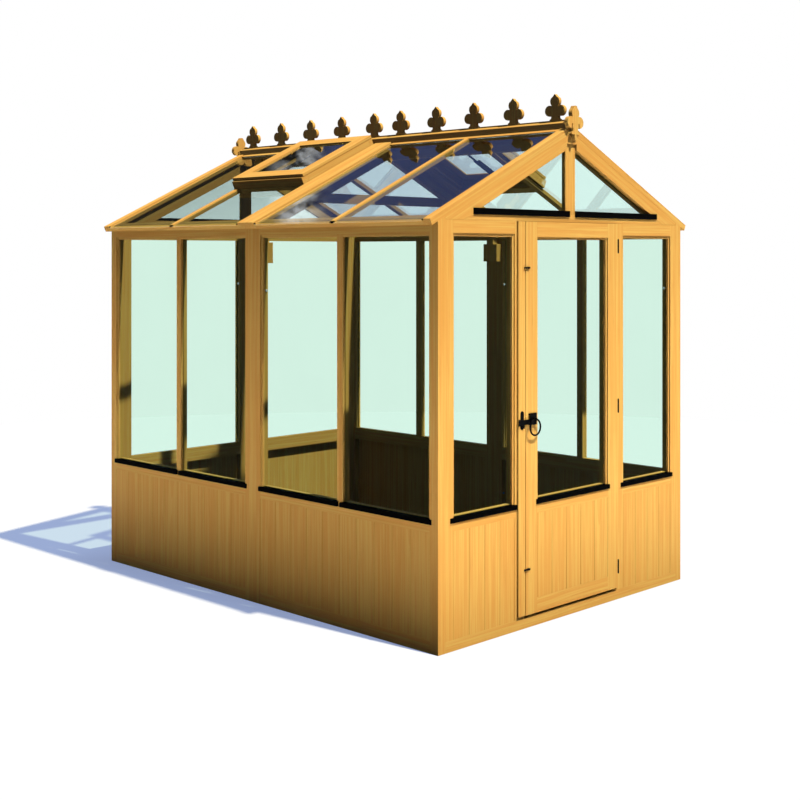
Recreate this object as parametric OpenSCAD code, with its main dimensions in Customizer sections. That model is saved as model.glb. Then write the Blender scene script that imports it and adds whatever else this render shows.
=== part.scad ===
// Small timber greenhouse with a gabled glass roof, two ridge vents and an outward door.
// Origin on the ground at the middle of the plan, X across the gable, Y along the ridge,
// door end towards -Y, Z up, millimetres.

/* [Body] */
// Width over the side walls
body_w = 1829; // [1700:1:2200]
// Length over the gable walls
body_l = 2438; // [2300:1:3000]
// Thickness of the wall frames
wall_t = 45; // [40:1:60]
// Height where the underside of the roof meets the side wall's face
eaves_z = 1813.4; // [1780:0.1:1900]
// Roof pitch in degrees
pitch = 25.2; // [22:0.1:30]

/* [Wall panels] */
// Width of a side wall's end stile
end_stile_w = 48; // [40:1:60]
// Width of each of the two stiles that meet in mid wall
mid_stile_w = 56; // [45:1:70]
// Width of a gable wall's corner stile
corner_stile_w = 49.5; // [40:0.5:60]
// Width of each of the two stiles that meet in the rear wall
rear_stile_w = 56; // [45:1:70]
// Width of a glazing bar's core, between its beads
bar_core_w = 18; // [14:1:24]
// Width of a glazing bead, and of the shoulder behind the pane
bead_w = 10; // [8:0.5:14]
// How far beads and bars lie back from the stiles' face
bead_back = 6; // [3:0.5:8]
// How far the pane lies back from the stiles' face
pane_back = 19; // [16:0.5:24]
// Thickness of the glass
glass_t = 4; // [3:0.5:6]
// Height of the bottom rails of the side and rear walls
bottom_rail_h = 57; // [45:1:80]
// Height of the rail under the sills
sill_rail_h = 36; // [28:1:60]
// Underside of the sills above the ground
sill_z = 541; // [500:1:600]
// Height of a sill's nose
sill_h = 20; // [10:1:24]
// How far a sill's nose stands out from the wall
sill_out = 6; // [5:0.5:14]
// How far a sill's nose runs past the pane at a stile
sill_horn = 20; // [10:1:24]
// Underside of the head rails' front, top of the beads
head_z = 1765; // [1740:1:1775]
// Thickness of the boards
board_t = 12; // [10:0.5:18]
// Aimed width of a board
board_pitch = 112; // [90:1:130]

/* [Door] */
// Opening side edge of the door, from the middle of the gable
door_x0 = -350; // [-360:1:-320]
// Hinge side edge of the door
door_x1 = 349; // [340:1:380]
// Underside of the door above the ground
door_z0 = 60; // [55:1:80]
// Top of the door above the ground
door_z1 = 1821; // [1800:1:1821]
// How far the door and the strip beside it stand out from the wall
door_out = 10; // [4:0.5:12]
// Thickness of the door
door_t = 44; // [38:0.5:45]
// Width of the door's stiles
door_stile_w = 80; // [60:1:100]
// Height of the door's top rail
door_top_h = 69; // [50:1:90]
// Underside of the door's sill above the ground
door_sill_z = 550; // [520:1:600]
// Height of the door's middle rail under the sill
door_mid_h = 42; // [30:1:70]
// Height of the door's bottom rail
door_bottom_h = 67; // [50:1:100]
// Height of the front wall's bottom rail, the door's threshold
threshold_h = 48; // [40:1:52]
// Width of the strip that the door's opening side closes beside
slam_w = 49; // [40:1:56]
// Thickness of that strip
slam_t = 22; // [16:1:26]
// Gap between the strip and the door
door_gap = 3; // [2:0.5:5]
// Gap between the door and the jamb, where the hinge leaves lie
hinge_gap = 4; // [3.6:0.1:6]
// Width of the jamb on the hinge side
jamb_w = 55; // [40:1:90]

/* [Door furniture] */
// Heights of the middles of the three hinges
hinge_zs = [163.5, 941, 1713];
// Length of a hinge
hinge_l = 66; // [50:1:90]
// Radius of a hinge's knuckles
knuckle_r = 3; // [3:0.1:5]
// Radius of a hinge's pin
pin_r = 1.4; // [1.2:0.1:2.5]
// Thickness of a hinge's leaf
leaf_t = 1.8; // [1.2:0.1:1.8]
// Width of a hinge's leaf, into the gap beside the door
leaf_w = 30; // [20:1:36]
// Height of the latch's spindle
latch_z = 936; // [900:1:1000]
// Side of the latch's square plate
plate_w = 52; // [40:1:60]
// Thickness of the latch's plate
plate_t = 10; // [9.5:0.5:13]
// Radius of the latch's spindle
spindle_r = 5; // [4:0.5:7]
// Outside diameter of the ring handle
ring_d = 80; // [60:1:95]
// Thickness of the ring handle's bar
ring_bar_d = 8; // [5:0.2:8]
// Heights of the two turn buttons
button_zs = [266, 1614];

/* [Roof] */
// Thickness of a roof frame without its capping
roof_frame_t = 22; // [20:0.5:26]
// Thickness of the cappings
capping_t = 8; // [6:0.5:12]
// How far the middle capping stands above the end cappings
mid_capping_up = 3; // [0:0.5:5]
// Slope length from the apex of the roof's top plane to the eaves tip
slope_l = 1065.3; // [1000:0.1:1120]
// Width of a roof frame's end stile
roof_end_w = 52; // [44:1:60]
// Width of each of the two roof stiles that meet over mid wall
roof_mid_w = 70; // [60:1:80]
// Width of the roof stiles' strip that the cappings leave bare
bare_strip_w = 10; // [8:0.5:14]
// Width of a roof bar above the glass
roof_bar_w = 26; // [20:1:32]
// Width of the roof panel's bottom rail along the slope
eaves_rail_w = 60; // [45:1:80]
// Width of the roof panel's top rail along the slope
top_rail_w = 46; // [40:1:60]
// Where the roof panels start, along the slope from the apex
panel_start = 16; // [15:0.5:18]

/* [Ridge] */
// Width of the ridge cap
cap_w = 60; // [56:1:64]
// Height of the ridge cap's top above the apex of the roof's top plane
cap_rise = 20.1; // [16:0.1:28]
// Height of the cap's bevel
cap_bevel_h = 10; // [6:1:14]
// Thickness of the crest boards
crest_t = 18; // [14:1:19]
// Height of the crest's base strip
crest_base_h = 7; // [5:0.5:10]
// Height of a crest finial above the base strip
crest_h = 124; // [100:1:140]
// Distance from the middle of the length to the first finial
crest_first = 100; // [80:1:130]
// Distance from the gable face to the last finial
crest_last = 95; // [70:1:120]
// Distance from the gable face to the end of the crest
crest_in = 19; // [5:1:35]
// Number of finials on each crest piece
crest_count = 5; // [3:1:5]
// Width of the ridge beam
ridge_beam_w = 38; // [32:1:45]
// Underside of the ridge beam
ridge_beam_z = 2168; // [2140:1:2180]

/* [Gables] */
// Width of a gable's raking rails, square to the slope
rake_w = 61; // [50:1:75]
// Height of a gable's bottom rail
gable_rail_h = 35; // [28:1:50]
// Width of a gable's mullion
mullion_w = 74; // [60:1:90]
// How far the mullion's face lies back
mullion_back = 10; // [6:0.5:14]
// Thickness of the mullion
mullion_t = 22; // [18:1:28]
// How high the mullion runs up into a notch in the raking rails
notch_h = 28; // [20:1:34]
// Thickness of the gable finials
finial_t = 22; // [16:1:24]
// Height of a gable finial from its pendant's point to its tip
finial_h = 160; // [145:1:175]
// How far a gable finial's tip stands above the ridge cap
finial_up = 68; // [60:1:80]
// How far the ring and the rear gable finial reach out from the walls
front_reach = 36; // [33:0.5:40]

/* [Middle truss] */
// Thickness of the truss rafters and heel blocks
truss_t = 45; // [35:1:60]
// Depth of the truss rafters, measured upright
rafter_h = 66; // [50:1:80]
// Thickness of the collar tie
tie_t = 22; // [16:1:30]
// Depth of the collar tie
tie_h = 50; // [40:1:70]
// Height of the middle of the collar tie
tie_z = 1957; // [1930:1:1975]
// Underside of the heel blocks
heel_z = 1631; // [1600:1:1660]
// Length and width of a heel block on the wall
heel_w = 100; // [80:1:116]
// Thickness of a heel block
heel_t = 40; // [30:1:60]

/* [Vents] */
// Where a vent's curb starts, along the slope from the apex
vent_a0 = 36; // [36:1:44]
// Where a vent's curb ends, along the slope from the apex
curb_a1 = 580; // [520:1:620]
// How far the curb runs past the lid's lower edge
curb_past = 12; // [5:1:40]
// Upper side of the curb above the roof's top plane
curb_up = 34; // [30:1:45]
// Thickness of the curb's walls
curb_wall_t = 25; // [18:1:32]
// Thickness of the curb's lower wall
curb_low_t = 45; // [40:1:60]
// Thickness of the lid's frame
lid_t = 16; // [14:1:30]
// Width of the lid's rails
lid_rail_w = 75; // [60:1:90]
// Gap between the vent and the middle capping
vent_gap = 13; // [10:1:20]
// Length of the lid across the slope
lid_w = 571; // [540:1:580]
// Length of the stay bar
stay_l = 230; // [180:1:260]

/* [Fixings] */
// Diameter of the bolts and screws that join the panels
bolt_d = 8; // [6:1:10]
// Clearance round a bolt
bolt_clear = 0.5; // [0.3:0.1:1]
// Heights of the corner and mid wall fixings
bolt_zs = [300, 1500];

/* [Hidden] */

$fn = 48;
// running gap between pieces that only lie side by side
fit = 0.5;
// gap between faces that meet at an angle
kiss = 0.1;
// hairline between the members of one frame
seam = 0.1;
// how much further the beads under the head rails reach down
head_bead_more = 3;
half_w = body_w / 2;
half_l = body_l / 2;
inner_x = half_w - wall_t;
tan_p = tan(pitch);
cos_p = cos(pitch);
roof_t = roof_frame_t + capping_t;
// apex of the roof's underside and of its top plane
under_apex_z = eaves_z + half_w * tan_p;
apex_z = under_apex_z + roof_t / cos_p;
cap_top_z = apex_z + cap_rise;
rail_front = pane_back + glass_t + seam;
sill_top = sill_z + sill_h + 1;
sill_rail_z = sill_z - sill_rail_h;
gable_z = head_z + 57;
// how deep the fixings lie behind the walls' outer face, and how far screws bite into a side wall
bolt_depth = wall_t * 0.75;
screw_bite = wall_t / 2;
jamb_x = door_x1 + hinge_gap;
slam_x1 = door_x0 - door_gap;
slam_x0 = slam_x1 - slam_w;
axis_x = door_x1 + hinge_gap / 2;
door_face = -half_l - door_out;
door_back = door_t - door_out;
axis_y = door_face - knuckle_r - 0.2;
ring_reach = front_reach - door_out;
// how far the wood behind a pane laps over its lower edge, and over its upright edges
sill_lap = 3;
stile_lap = 4;

front_wood = "#F7B75B";
side_wood = "#E0A650";
dark_wood = "#A87433";
black_metal = "#15161A";
clear_glass = "#CDEBE2";
roof_pane = "#A9CBE6";

// a block between two corners
module block(a, b) {
    translate(a) cube([b[0] - a[0], b[1] - a[1], b[2] - a[2]]);
}

// Wall panels are drawn with u along the wall, depth from the outer face inwards and z up.

// an upright; the shoulders widen its part behind the pane to the left and the right, and its
// top is bevelled to the roof where top_rise is set
module stile(u0, u1, z0, z1, top_rise, shoulder0, shoulder1) {
    difference() {
        union() {
            block([u0, 0, z0], [u1, wall_t, z1 + top_rise]);
            block([u0 - shoulder0, rail_front, sill_top + seam], [u1 + shoulder1, wall_t, head_z - seam]);
        }
        bevel_cut(u0 - stile_lap, u1 + stile_lap, z1, top_rise);
    }
}

// what the roof's slope takes off a side wall's top
module bevel_cut(u0, u1, z1, top_rise) {
    if (top_rise > 0) {
        translate([u0 - 1, 0, 0]) rotate([90, 0, 90]) linear_extrude(u1 - u0 + 2)
            polygon([[-1, z1 - top_rise / wall_t], [wall_t + 1, z1 + top_rise + top_rise / wall_t],
                [wall_t + 1, z1 + 3 * top_rise], [-1, z1 + 3 * top_rise]]);
    }
}

// a rail over the panes, with the shoulder that the glass lies against
module head_rail(u0, u1, z1, top_rise) {
    difference() {
        union() {
            block([u0 + seam, 0, head_z], [u1 - seam, wall_t, z1 + top_rise]);
            block([u0 + stile_lap + fit, rail_front, head_z - bead_w - head_bead_more],
                [u1 - stile_lap - fit, wall_t, head_z]);
        }
        bevel_cut(u0, u1, z1, top_rise);
    }
}

// the rail under the sills, rebated for the boards below and the panes above
module sill_rail(u0, u1, z0, z1) {
    block([u0 + seam, 0, z0], [u1 - seam, wall_t, z1]);
    block([u0 + seam, rail_front, z1], [u1 - seam, wall_t, sill_top]);
    block([u0 + stile_lap + fit, rail_front, sill_top], [u1 - stile_lap - fit, wall_t, sill_top + sill_lap]);
    block([u0 + seam, board_t + fit, z0 - board_t], [u1 - seam, wall_t, z0]);
}

// a bottom rail, rebated for the boards
module bottom_rail(u0, u1, h) {
    block([u0 + seam, 0, 0], [u1 - seam, wall_t, h]);
    block([u0 + seam, board_t + fit, h], [u1 - seam, wall_t, h + board_t]);
}

// a glazing bar between the sill rail and the head rail
module glazing_bar(u, z1) {
    half = bar_core_w / 2;
    block([u - half, bead_back, sill_z + seam], [u + half, rail_front - seam, z1 - seam]);
    block([u - half, rail_front - seam, sill_top + sill_lap + seam],
        [u + half, rail_front, z1 - bead_w - head_bead_more - seam]);
    block([u - half - bead_w, rail_front, sill_top + sill_lap + seam],
        [u + half + bead_w, wall_t, z1 - bead_w - head_bead_more - seam]);
}

// upright boards with small V joints, between u0 and u1
module boards(u0, u1, z0, z1, face = 0) {
    count = max(1, round((u1 - u0) / board_pitch));
    pitch_u = (u1 - u0) / count;
    for (i = [0 : count - 1]) {
        translate([u0 + i * pitch_u, face, z0]) linear_extrude(z1 - z0)
            polygon([[0.15, board_t], [0.15, 2], [2.15, 0], [pitch_u - 2.15, 0],
                [pitch_u - 0.15, 2], [pitch_u - 0.15, board_t]]);
    }
}

// a pane in its rebate, standing on the sill
module pane(u0, u1, z0, z1) {
    block([u0 + 1, pane_back, z0], [u1 - 1, pane_back + glass_t, z1 - 1]);
}

// beads round a pane, in front of the glass
module beads(u0, u1, z0, z1) {
    block([u0, bead_back, z0], [u0 + bead_w, pane_back, z1]);
    block([u1 - bead_w, bead_back, z0], [u1, pane_back, z1]);
    block([u0 + bead_w + seam, bead_back, z1 - bead_w - head_bead_more], [u1 - bead_w - seam, pane_back, z1]);
}

// a black sill under a pane, its nose horned past the pane
module sill(u0, u1, horn0, horn1, z0) {
    block([u0, 0, z0], [u1, rail_front, z0 + sill_h + 1]);
    translate([u0 - horn0, 0, z0]) rotate([90, 0, 90]) linear_extrude(u1 - u0 + horn0 + horn1)
        polygon([[-sill_out, 0], [0, 0], [0, sill_h + 1], [-sill_out, sill_h - 1]]);
}

// Side walls: u runs along Y. The front panel ends at its stile beside the middle.
bar_u = half_l / 2;

module side_frame() {
    top_rise = wall_t * tan_p - kiss;
    z1 = eaves_z - kiss;
    lo = -half_l;
    difference() {
        union() {
            stile(lo, lo + end_stile_w, 0, z1, top_rise, 0, stile_lap);
            stile(-mid_stile_w, -fit / 2, 0, z1, top_rise, stile_lap, 0);
        }
        corner_holes();
        mid_holes();
    }
    glazing_bar(-bar_u, head_z);
    head_rail(lo + end_stile_w, -mid_stile_w, z1, top_rise);
    sill_rail(lo + end_stile_w, -mid_stile_w, sill_rail_z, sill_z);
    bottom_rail(lo + end_stile_w, -mid_stile_w, bottom_rail_h);
}

// bores for the corner screws, in the wall panel's own directions
module corner_holes() {
    for (z = bolt_zs)
        translate([-half_l + bolt_depth, wall_t - screw_bite - 2, z]) rotate([-90, 0, 0])
            cylinder(r = bolt_d / 2 + bolt_clear, h = wall_t);
}

module mid_holes() {
    for (z = bolt_zs)
        translate([-mid_stile_w - 30, bolt_depth, z]) rotate([0, 90, 0])
            cylinder(r = bolt_d / 2 + bolt_clear, h = mid_stile_w + 60);
}

// puts a side wall's pieces on the left wall, front half or rear half
module on_left(rear) {
    mirror([0, rear ? 1 : 0, 0]) translate([-half_w, 0, 0]) mirror([1, -1, 0]) children();
}

module on_right(rear) {
    mirror([1, 0, 0]) on_left(rear) children();
}

module left_front_frame() {
    color(side_wood) on_left(false) side_frame();
}

module left_rear_frame() {
    color(side_wood) on_left(true) side_frame();
}

module right_front_frame() {
    color(side_wood) on_right(false) side_frame();
}

module right_rear_frame() {
    color(side_wood) on_right(true) side_frame();
}

module side_boards() {
    boards(-half_l + end_stile_w, -mid_stile_w, bottom_rail_h, sill_rail_z);
}

module left_boards() {
    color(side_wood) {
        on_left(false) side_boards();
        on_left(true) side_boards();
    }
}

module right_boards() {
    color(side_wood) {
        on_right(false) side_boards();
        on_right(true) side_boards();
    }
}

// where each of a side panel's two panes starts and ends, between stile, bar and stile
side_bays = [[-half_l + end_stile_w, -bar_u - bar_core_w / 2],
    [-bar_u + bar_core_w / 2, -mid_stile_w]];

module side_panes() {
    for (bay = side_bays) pane(bay[0], bay[1], sill_top, head_z);
}

module left_glass() {
    color(clear_glass, 0.4) {
        on_left(false) side_panes();
        on_left(true) side_panes();
    }
}

module right_glass() {
    color(clear_glass, 0.4) {
        on_right(false) side_panes();
        on_right(true) side_panes();
    }
}

module side_sills() {
    sill(side_bays[0][0], side_bays[0][1], sill_horn / 2, 0, sill_z);
    sill(side_bays[1][0], side_bays[1][1], 0, sill_horn / 2, sill_z);
}

module side_beads() {
    for (bay = side_bays) beads(bay[0], bay[1], sill_top, head_z);
}

// Front wall: u runs along X.
// visible nib of the jamb beside the strip, and the stop laths' reach past the jambs
slam_nib = 14;
stop_t = 15;
front_bays = [[-inner_x + corner_stile_w, slam_x0 - slam_nib], [jamb_x + jamb_w, inner_x - corner_stile_w]];

module on_front() {
    translate([0, -half_l, 0]) children();
}

// the door's own face
module on_door() {
    translate([0, door_face, 0]) children();
}

module on_rear() {
    translate([0, half_l, 0]) mirror([0, 1, 0]) children();
}

module front_wall_frame() {
    top = gable_z - kiss;
    color(front_wood) on_front() {
        block([-inner_x + kiss, 0, 0], [inner_x - kiss, wall_t, threshold_h - seam]);
        difference() {
            union() {
                stile(-inner_x + kiss, front_bays[0][0], threshold_h, top, 0, 0, stile_lap);
                stile(front_bays[1][1], inner_x - kiss, threshold_h, top, 0, stile_lap, 0);
            }
            front_corner_holes();
        }
        // jamb beside the strip, rebated for it
        difference() {
            stile(front_bays[0][1], slam_x1, threshold_h, top, 0, stile_lap, 0);
            block([slam_x0, -1, door_z0 - kiss], [slam_x1 + 1, slam_t - door_out + kiss, top + 1]);
        }
        stile(jamb_x, front_bays[1][0], threshold_h, top, 0, 0, stile_lap);
        for (bay = front_bays) {
            head_rail(bay[0], bay[1], top, 0);
            sill_rail(bay[0], bay[1], sill_rail_z, sill_z);
            block([bay[0] + seam, board_t + fit, threshold_h],
                [bay[1] - seam, wall_t, threshold_h + board_t]);
        }
        // stop laths that the door closes against
        front = door_back + seam;
        back = wall_t + stop_t;
        block([slam_x1 + seam, front, threshold_h], [door_x0 + stop_t, back, top]);
        block([door_x1 - stop_t, front, threshold_h], [jamb_x - seam, back, top]);
        block([door_x0 + stop_t + seam, front, door_z1 - stop_t], [door_x1 - stop_t - seam, back, top]);
    }
}

module front_corner_holes() {
    for (z = bolt_zs, side = [-1, 1])
        translate([side * (inner_x + 10), bolt_depth, z]) rotate([0, -90 * side, 0])
            cylinder(r = bolt_d / 2 + bolt_clear, h = corner_stile_w + 60);
}

module slam_strip() {
    color(front_wood) on_door()
        block([slam_x0 + kiss, 0, door_z0], [slam_x1, slam_t, door_z1]);
}

module front_boards() {
    color(front_wood) on_front() for (bay = front_bays) boards(bay[0], bay[1], threshold_h, sill_rail_z);
}

// Rear wall: two panels that meet in the middle.
rear_bay = [-inner_x + corner_stile_w, -rear_stile_w];

module rear_panel() {
    top = gable_z - kiss;
    difference() {
        union() {
            stile(-inner_x + kiss, rear_bay[0], 0, top, 0, 0, stile_lap);
            stile(-rear_stile_w, -fit / 2, 0, top, 0, stile_lap, 0);
        }
        for (z = bolt_zs) {
            translate([-inner_x - 10, bolt_depth, z]) rotate([0, 90, 0])
                cylinder(r = bolt_d / 2 + bolt_clear, h = corner_stile_w + 60);
            translate([-rear_stile_w - 30, bolt_depth, z]) rotate([0, 90, 0])
                cylinder(r = bolt_d / 2 + bolt_clear, h = rear_stile_w + 60);
        }
    }
    head_rail(rear_bay[0], rear_bay[1], top, 0);
    sill_rail(rear_bay[0], rear_bay[1], sill_rail_z, sill_z);
    bottom_rail(rear_bay[0], rear_bay[1], bottom_rail_h);
}

module rear_wall_frame() {
    color(dark_wood) on_rear() for (side = [0, 1]) mirror([side, 0, 0]) rear_panel();
}

module rear_boards() {
    color(dark_wood) on_rear() for (side = [0, 1]) mirror([side, 0, 0])
        boards(rear_bay[0], rear_bay[1], bottom_rail_h, sill_rail_z);
}

// Gables. The raking rails' lower edge is a line below the roof's underside.
rake_drop = rake_w / cos_p;
// edge and top of the notch that holds the mullion's upper end
notch_z = under_apex_z - rake_drop - mullion_w / 2 * tan_p + notch_h;
notch_x = mullion_w / 2 + seam;
gable_rail_top = gable_z + gable_rail_h;
// height of a gable's sill, and how far it hangs over the rail
gable_sill_h = 28;
gable_sill_drop = 10;

function under_z(x) = under_apex_z - kiss - abs(x) * tan_p;
function rake_z(x, more = 0) = under_apex_z - rake_drop - more / cos_p - abs(x) * tan_p;
function rake_x(z, more = 0) = (under_apex_z - rake_drop - more / cos_p - z) / tan_p;

// a flat XZ outline, drawn upright and d thick inwards from depth y0
module upright(y0, d) {
    translate([0, y0 + d, 0]) rotate([90, 0, 0]) linear_extrude(d) children();
}

module gable_half(more) {
    // the raking rail's outline on the right, clipped by the side wall and the bottom rail
    polygon([[seam / 2, under_z(0)], [(under_apex_z - kiss - gable_z) / tan_p < inner_x - kiss
            ? (under_apex_z - kiss - gable_z) / tan_p : inner_x - kiss, max(gable_z, under_z(inner_x))],
        [inner_x - kiss, gable_z], [rake_x(gable_z, more), gable_z],
        [rake_x(gable_rail_top, more), gable_rail_top], [notch_x, rake_z(notch_x, more)],
        [notch_x, notch_z], [seam / 2, notch_z]]);
}

module gable_frame() {
    more = bead_w;
    for (side = [0, 1]) mirror([side, 0, 0]) {
        // raking rail, with the shoulder behind the pane
        upright(0, rail_front) gable_half(0);
        upright(rail_front, wall_t - rail_front) gable_half(more);
    }
    // bottom rail, its shoulder and the mullion
    x_low = rake_x(gable_z, more) - 2 * seam;
    x_high = rake_x(gable_rail_top, more) - 2 * seam;
    upright(0, wall_t) polygon([[-x_low, gable_z], [x_low, gable_z],
        [x_high, gable_rail_top], [-x_high, gable_rail_top]]);
    // filling pieces that carry the bottom rail's face out to the raking rails
    for (side = [0, 1]) mirror([side, 0, 0]) upright(0, rail_front - seam)
        polygon([[x_low, gable_z], [rake_x(gable_z) - 2 * seam, gable_z],
            [rake_x(gable_rail_top) - 2 * seam, gable_rail_top], [x_high, gable_rail_top]]);
    half = mullion_w / 2;
    block([-half, mullion_back, gable_rail_top + seam], [half, mullion_back + mullion_t, notch_z - seam]);
}

module gable_panes() {
    z0 = gable_rail_top;
    x0 = mullion_w / 2 + fit;
    for (side = [0, 1]) mirror([side, 0, 0]) upright(pane_back, glass_t)
        polygon([[x0, z0], [rake_x(z0) - 2, z0], [x0, rake_z(x0) - 1]]);
}

module gable_sills() {
    z0 = gable_rail_top - gable_sill_drop;
    for (side = [0, 1]) mirror([side, 0, 0])
        translate([mullion_w / 2 - 15, -sill_out, z0])
            cube([rake_x(gable_rail_top) - mullion_w / 2 + 29, sill_out, gable_sill_h]);
}

module front_gable_frame() {
    color(front_wood) on_front() gable_frame();
}

module rear_gable_frame() {
    color(dark_wood) on_rear() gable_frame();
}

module front_glass() {
    color(clear_glass, 0.4) on_front() {
        for (bay = front_bays) pane(bay[0], bay[1], sill_top, head_z);
        gable_panes();
    }
}

module rear_glass() {
    color(clear_glass, 0.4) on_rear() {
        for (side = [0, 1]) mirror([side, 0, 0]) pane(rear_bay[0], rear_bay[1], sill_top, head_z);
        gable_panes();
    }
}

module wall_sills() {
    color(black_metal) {
        for (rear = [false, true]) {
            on_left(rear) side_sills();
            on_right(rear) side_sills();
        }
        on_front() {
            for (bay = front_bays) sill(bay[0], bay[1], sill_horn, slam_nib - 1, sill_z);
            gable_sills();
        }
        on_rear() {
            for (side = [0, 1]) mirror([side, 0, 0]) {
                sill(rear_bay[0], rear_bay[1], sill_horn, sill_horn, sill_z);
            }
            gable_sills();
        }
    }
}

module wall_beads() {
    color(front_wood) {
        for (rear = [false, true]) {
            on_left(rear) side_beads();
            on_right(rear) side_beads();
        }
        on_front() for (bay = front_bays) beads(bay[0], bay[1], sill_top, head_z);
        on_rear() for (side = [0, 1]) mirror([side, 0, 0])
            beads(rear_bay[0], rear_bay[1], sill_top, head_z);
    }
}

// Roof. On a slope, a runs down from the apex, y along the ridge and c up from the top plane.

module on_slope(left) {
    mirror([left ? 1 : 0, 0, 0]) translate([0, 0, apex_z]) rotate([0, pitch, 0]) children();
}

base_c = -roof_t;
strip_c = -capping_t;
seat_c = strip_c - glass_t;
bar_c = -capping_t / 2;
eaves_a = slope_l - eaves_rail_w;
top_rail_a = panel_start + top_rail_w;
vent_y0 = roof_mid_w - bare_strip_w + vent_gap;
vent_y1 = vent_y0 + lid_w;
curb_side = 2;
roof_bar_y = half_l / 2;
bar_shoulder = 7;
// length of the metal clip over a bar's lower end
clip_l = 12;
// the vent's trimmer lies under the curb's lower wall and runs past it to carry the pane's top
trimmer_a1 = curb_a1 + 8;

// one roof panel, drawn for the rear half; the vent takes its place in the bay next to mid wall
module roof_panel(vent) {
    mid0 = fit / 2;
    mid1 = roof_mid_w;
    end0 = half_l - roof_end_w;
    bar_low = roof_bar_w / 2 + bar_shoulder;
    bar_half = roof_bar_w / 2;
    rail_a = eaves_a - seam;
    // stiles, each with the shoulder that the glass lies on
    block([panel_start, mid0, base_c], [slope_l, mid1, strip_c]);
    block([panel_start, end0, base_c], [slope_l, half_l, strip_c]);
    block([top_rail_a + seam, mid1, base_c], [rail_a, mid1 + bead_w, seat_c]);
    block([top_rail_a + seam, end0 - bead_w, base_c], [rail_a, end0, seat_c]);
    // bottom rail under the panes, and top rail over their upper edge
    block([eaves_a, mid1 + seam, base_c], [slope_l, end0 - seam, seat_c]);
    block([panel_start, mid1 + seam, base_c], [top_rail_a, end0 - seam, bar_c]);
    // bar with its lower part, its top cut down under a vent's curb
    bar0 = vent ? trimmer_a1 : top_rail_a + seam;
    block([top_rail_a + seam, roof_bar_y - bar_low, base_c], [rail_a, roof_bar_y + bar_low, seat_c]);
    block([top_rail_a + seam, roof_bar_y - bar_half, seat_c], [rail_a, roof_bar_y + bar_half, strip_c]);
    block([bar0, roof_bar_y - bar_half, strip_c], [rail_a, roof_bar_y + bar_half, bar_c]);
    block([rail_a, roof_bar_y - bar_half, seat_c + seam], [slope_l - clip_l, roof_bar_y + bar_half, bar_c]);
    if (vent) {
        // trimmer under the curb's lower wall
        block([curb_a1 - curb_low_t, mid1 + bead_w + seam, base_c],
            [trimmer_a1, roof_bar_y - bar_low - seam, seat_c]);
    }
}

module roof_panel_at(left, rear) {
    mirror([0, rear ? 0 : 1, 0]) on_slope(left) roof_panel(left == rear);
}

module roof_left_front_frame() {
    color(front_wood) roof_panel_at(true, false);
}

module roof_left_rear_frame() {
    color(front_wood) roof_panel_at(true, true);
}

module roof_right_front_frame() {
    color(front_wood) roof_panel_at(false, false);
}

module roof_right_rear_frame() {
    color(front_wood) roof_panel_at(false, true);
}

// panes of one roof panel; under a vent the inner pane starts at the curb
module roof_panes(vent) {
    glass_c0 = seat_c;
    mid_edge = roof_mid_w + 1;
    bar0 = roof_bar_y - roof_bar_w / 2 - 1;
    bar1 = roof_bar_y + roof_bar_w / 2 + 1;
    end_edge = half_l - roof_end_w - 1;
    block([vent ? curb_a1 + 1 : top_rail_a + 1, mid_edge, glass_c0], [slope_l, bar0, strip_c]);
    block([top_rail_a + 1, bar1, glass_c0], [slope_l, end_edge, strip_c]);
}

module roof_left_glass() {
    color(roof_pane, 0.4) on_slope(true) {
        roof_panes(true);
        mirror([0, 1, 0]) roof_panes(false);
    }
}

module roof_right_glass() {
    color(roof_pane, 0.4) on_slope(false) {
        roof_panes(false);
        mirror([0, 1, 0]) roof_panes(true);
    }
}

cap_half_a = (cap_w / 2 + 1) / cos_p + 2;

module roof_cappings() {
    color(front_wood) for (left = [false, true]) on_slope(left) {
        mid_half = roof_mid_w - bare_strip_w - 1;
        block([cap_half_a, -mid_half, strip_c], [slope_l, mid_half, mid_capping_up]);
        for (side = [0, 1]) mirror([0, side, 0])
            block([cap_half_a, half_l - roof_end_w + bare_strip_w, strip_c], [slope_l, half_l, 0]);
    }
}

// black stops at the eaves that keep the panes from sliding
module glass_clips() {
    color(black_metal) for (left = [false, true]) on_slope(left) for (side = [0, 1]) mirror([0, side, 0]) {
        for (y = [roof_mid_w - bare_strip_w + 2, half_l - roof_end_w + 2])
            block([slope_l - 9, y, strip_c], [slope_l, y + 6, strip_c + 5]);
        // a bent metal clip over the end of the bar
        block([slope_l - 10, roof_bar_y - roof_bar_w / 2, seat_c + glass_t],
            [slope_l, roof_bar_y + roof_bar_w / 2, seat_c + glass_t + 2]);
        block([slope_l - clip_l + fit, roof_bar_y - 5, seat_c], [slope_l, roof_bar_y + 5, seat_c + glass_t]);
    }
}

module ridge_beam() {
    half = ridge_beam_w / 2;
    color(dark_wood) translate([0, half_l - wall_t - fit, 0]) rotate([90, 0, 0])
        linear_extrude(body_l - 2 * wall_t - 2 * fit)
            polygon([[-half, ridge_beam_z], [half, ridge_beam_z], [half, under_z(half)],
                [0, under_z(0)], [-half, under_z(half)]]);
}

// underside of the ridge cap, resting on the top rails
function cap_seat_z(x) = apex_z + (bar_c + kiss) / cos_p - abs(x) * tan_p;

module ridge_cap() {
    half = cap_w / 2;
    flat = crest_t / 2 + 1;
    color(front_wood) translate([0, half_l, 0]) rotate([90, 0, 0]) linear_extrude(body_l)
        polygon([[-half, cap_seat_z(half)], [0, cap_seat_z(0)], [half, cap_seat_z(half)],
            [half, cap_top_z - cap_bevel_h], [flat, cap_top_z], [-flat, cap_top_z],
            [-half, cap_top_z - cap_bevel_h]]);
}

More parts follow.
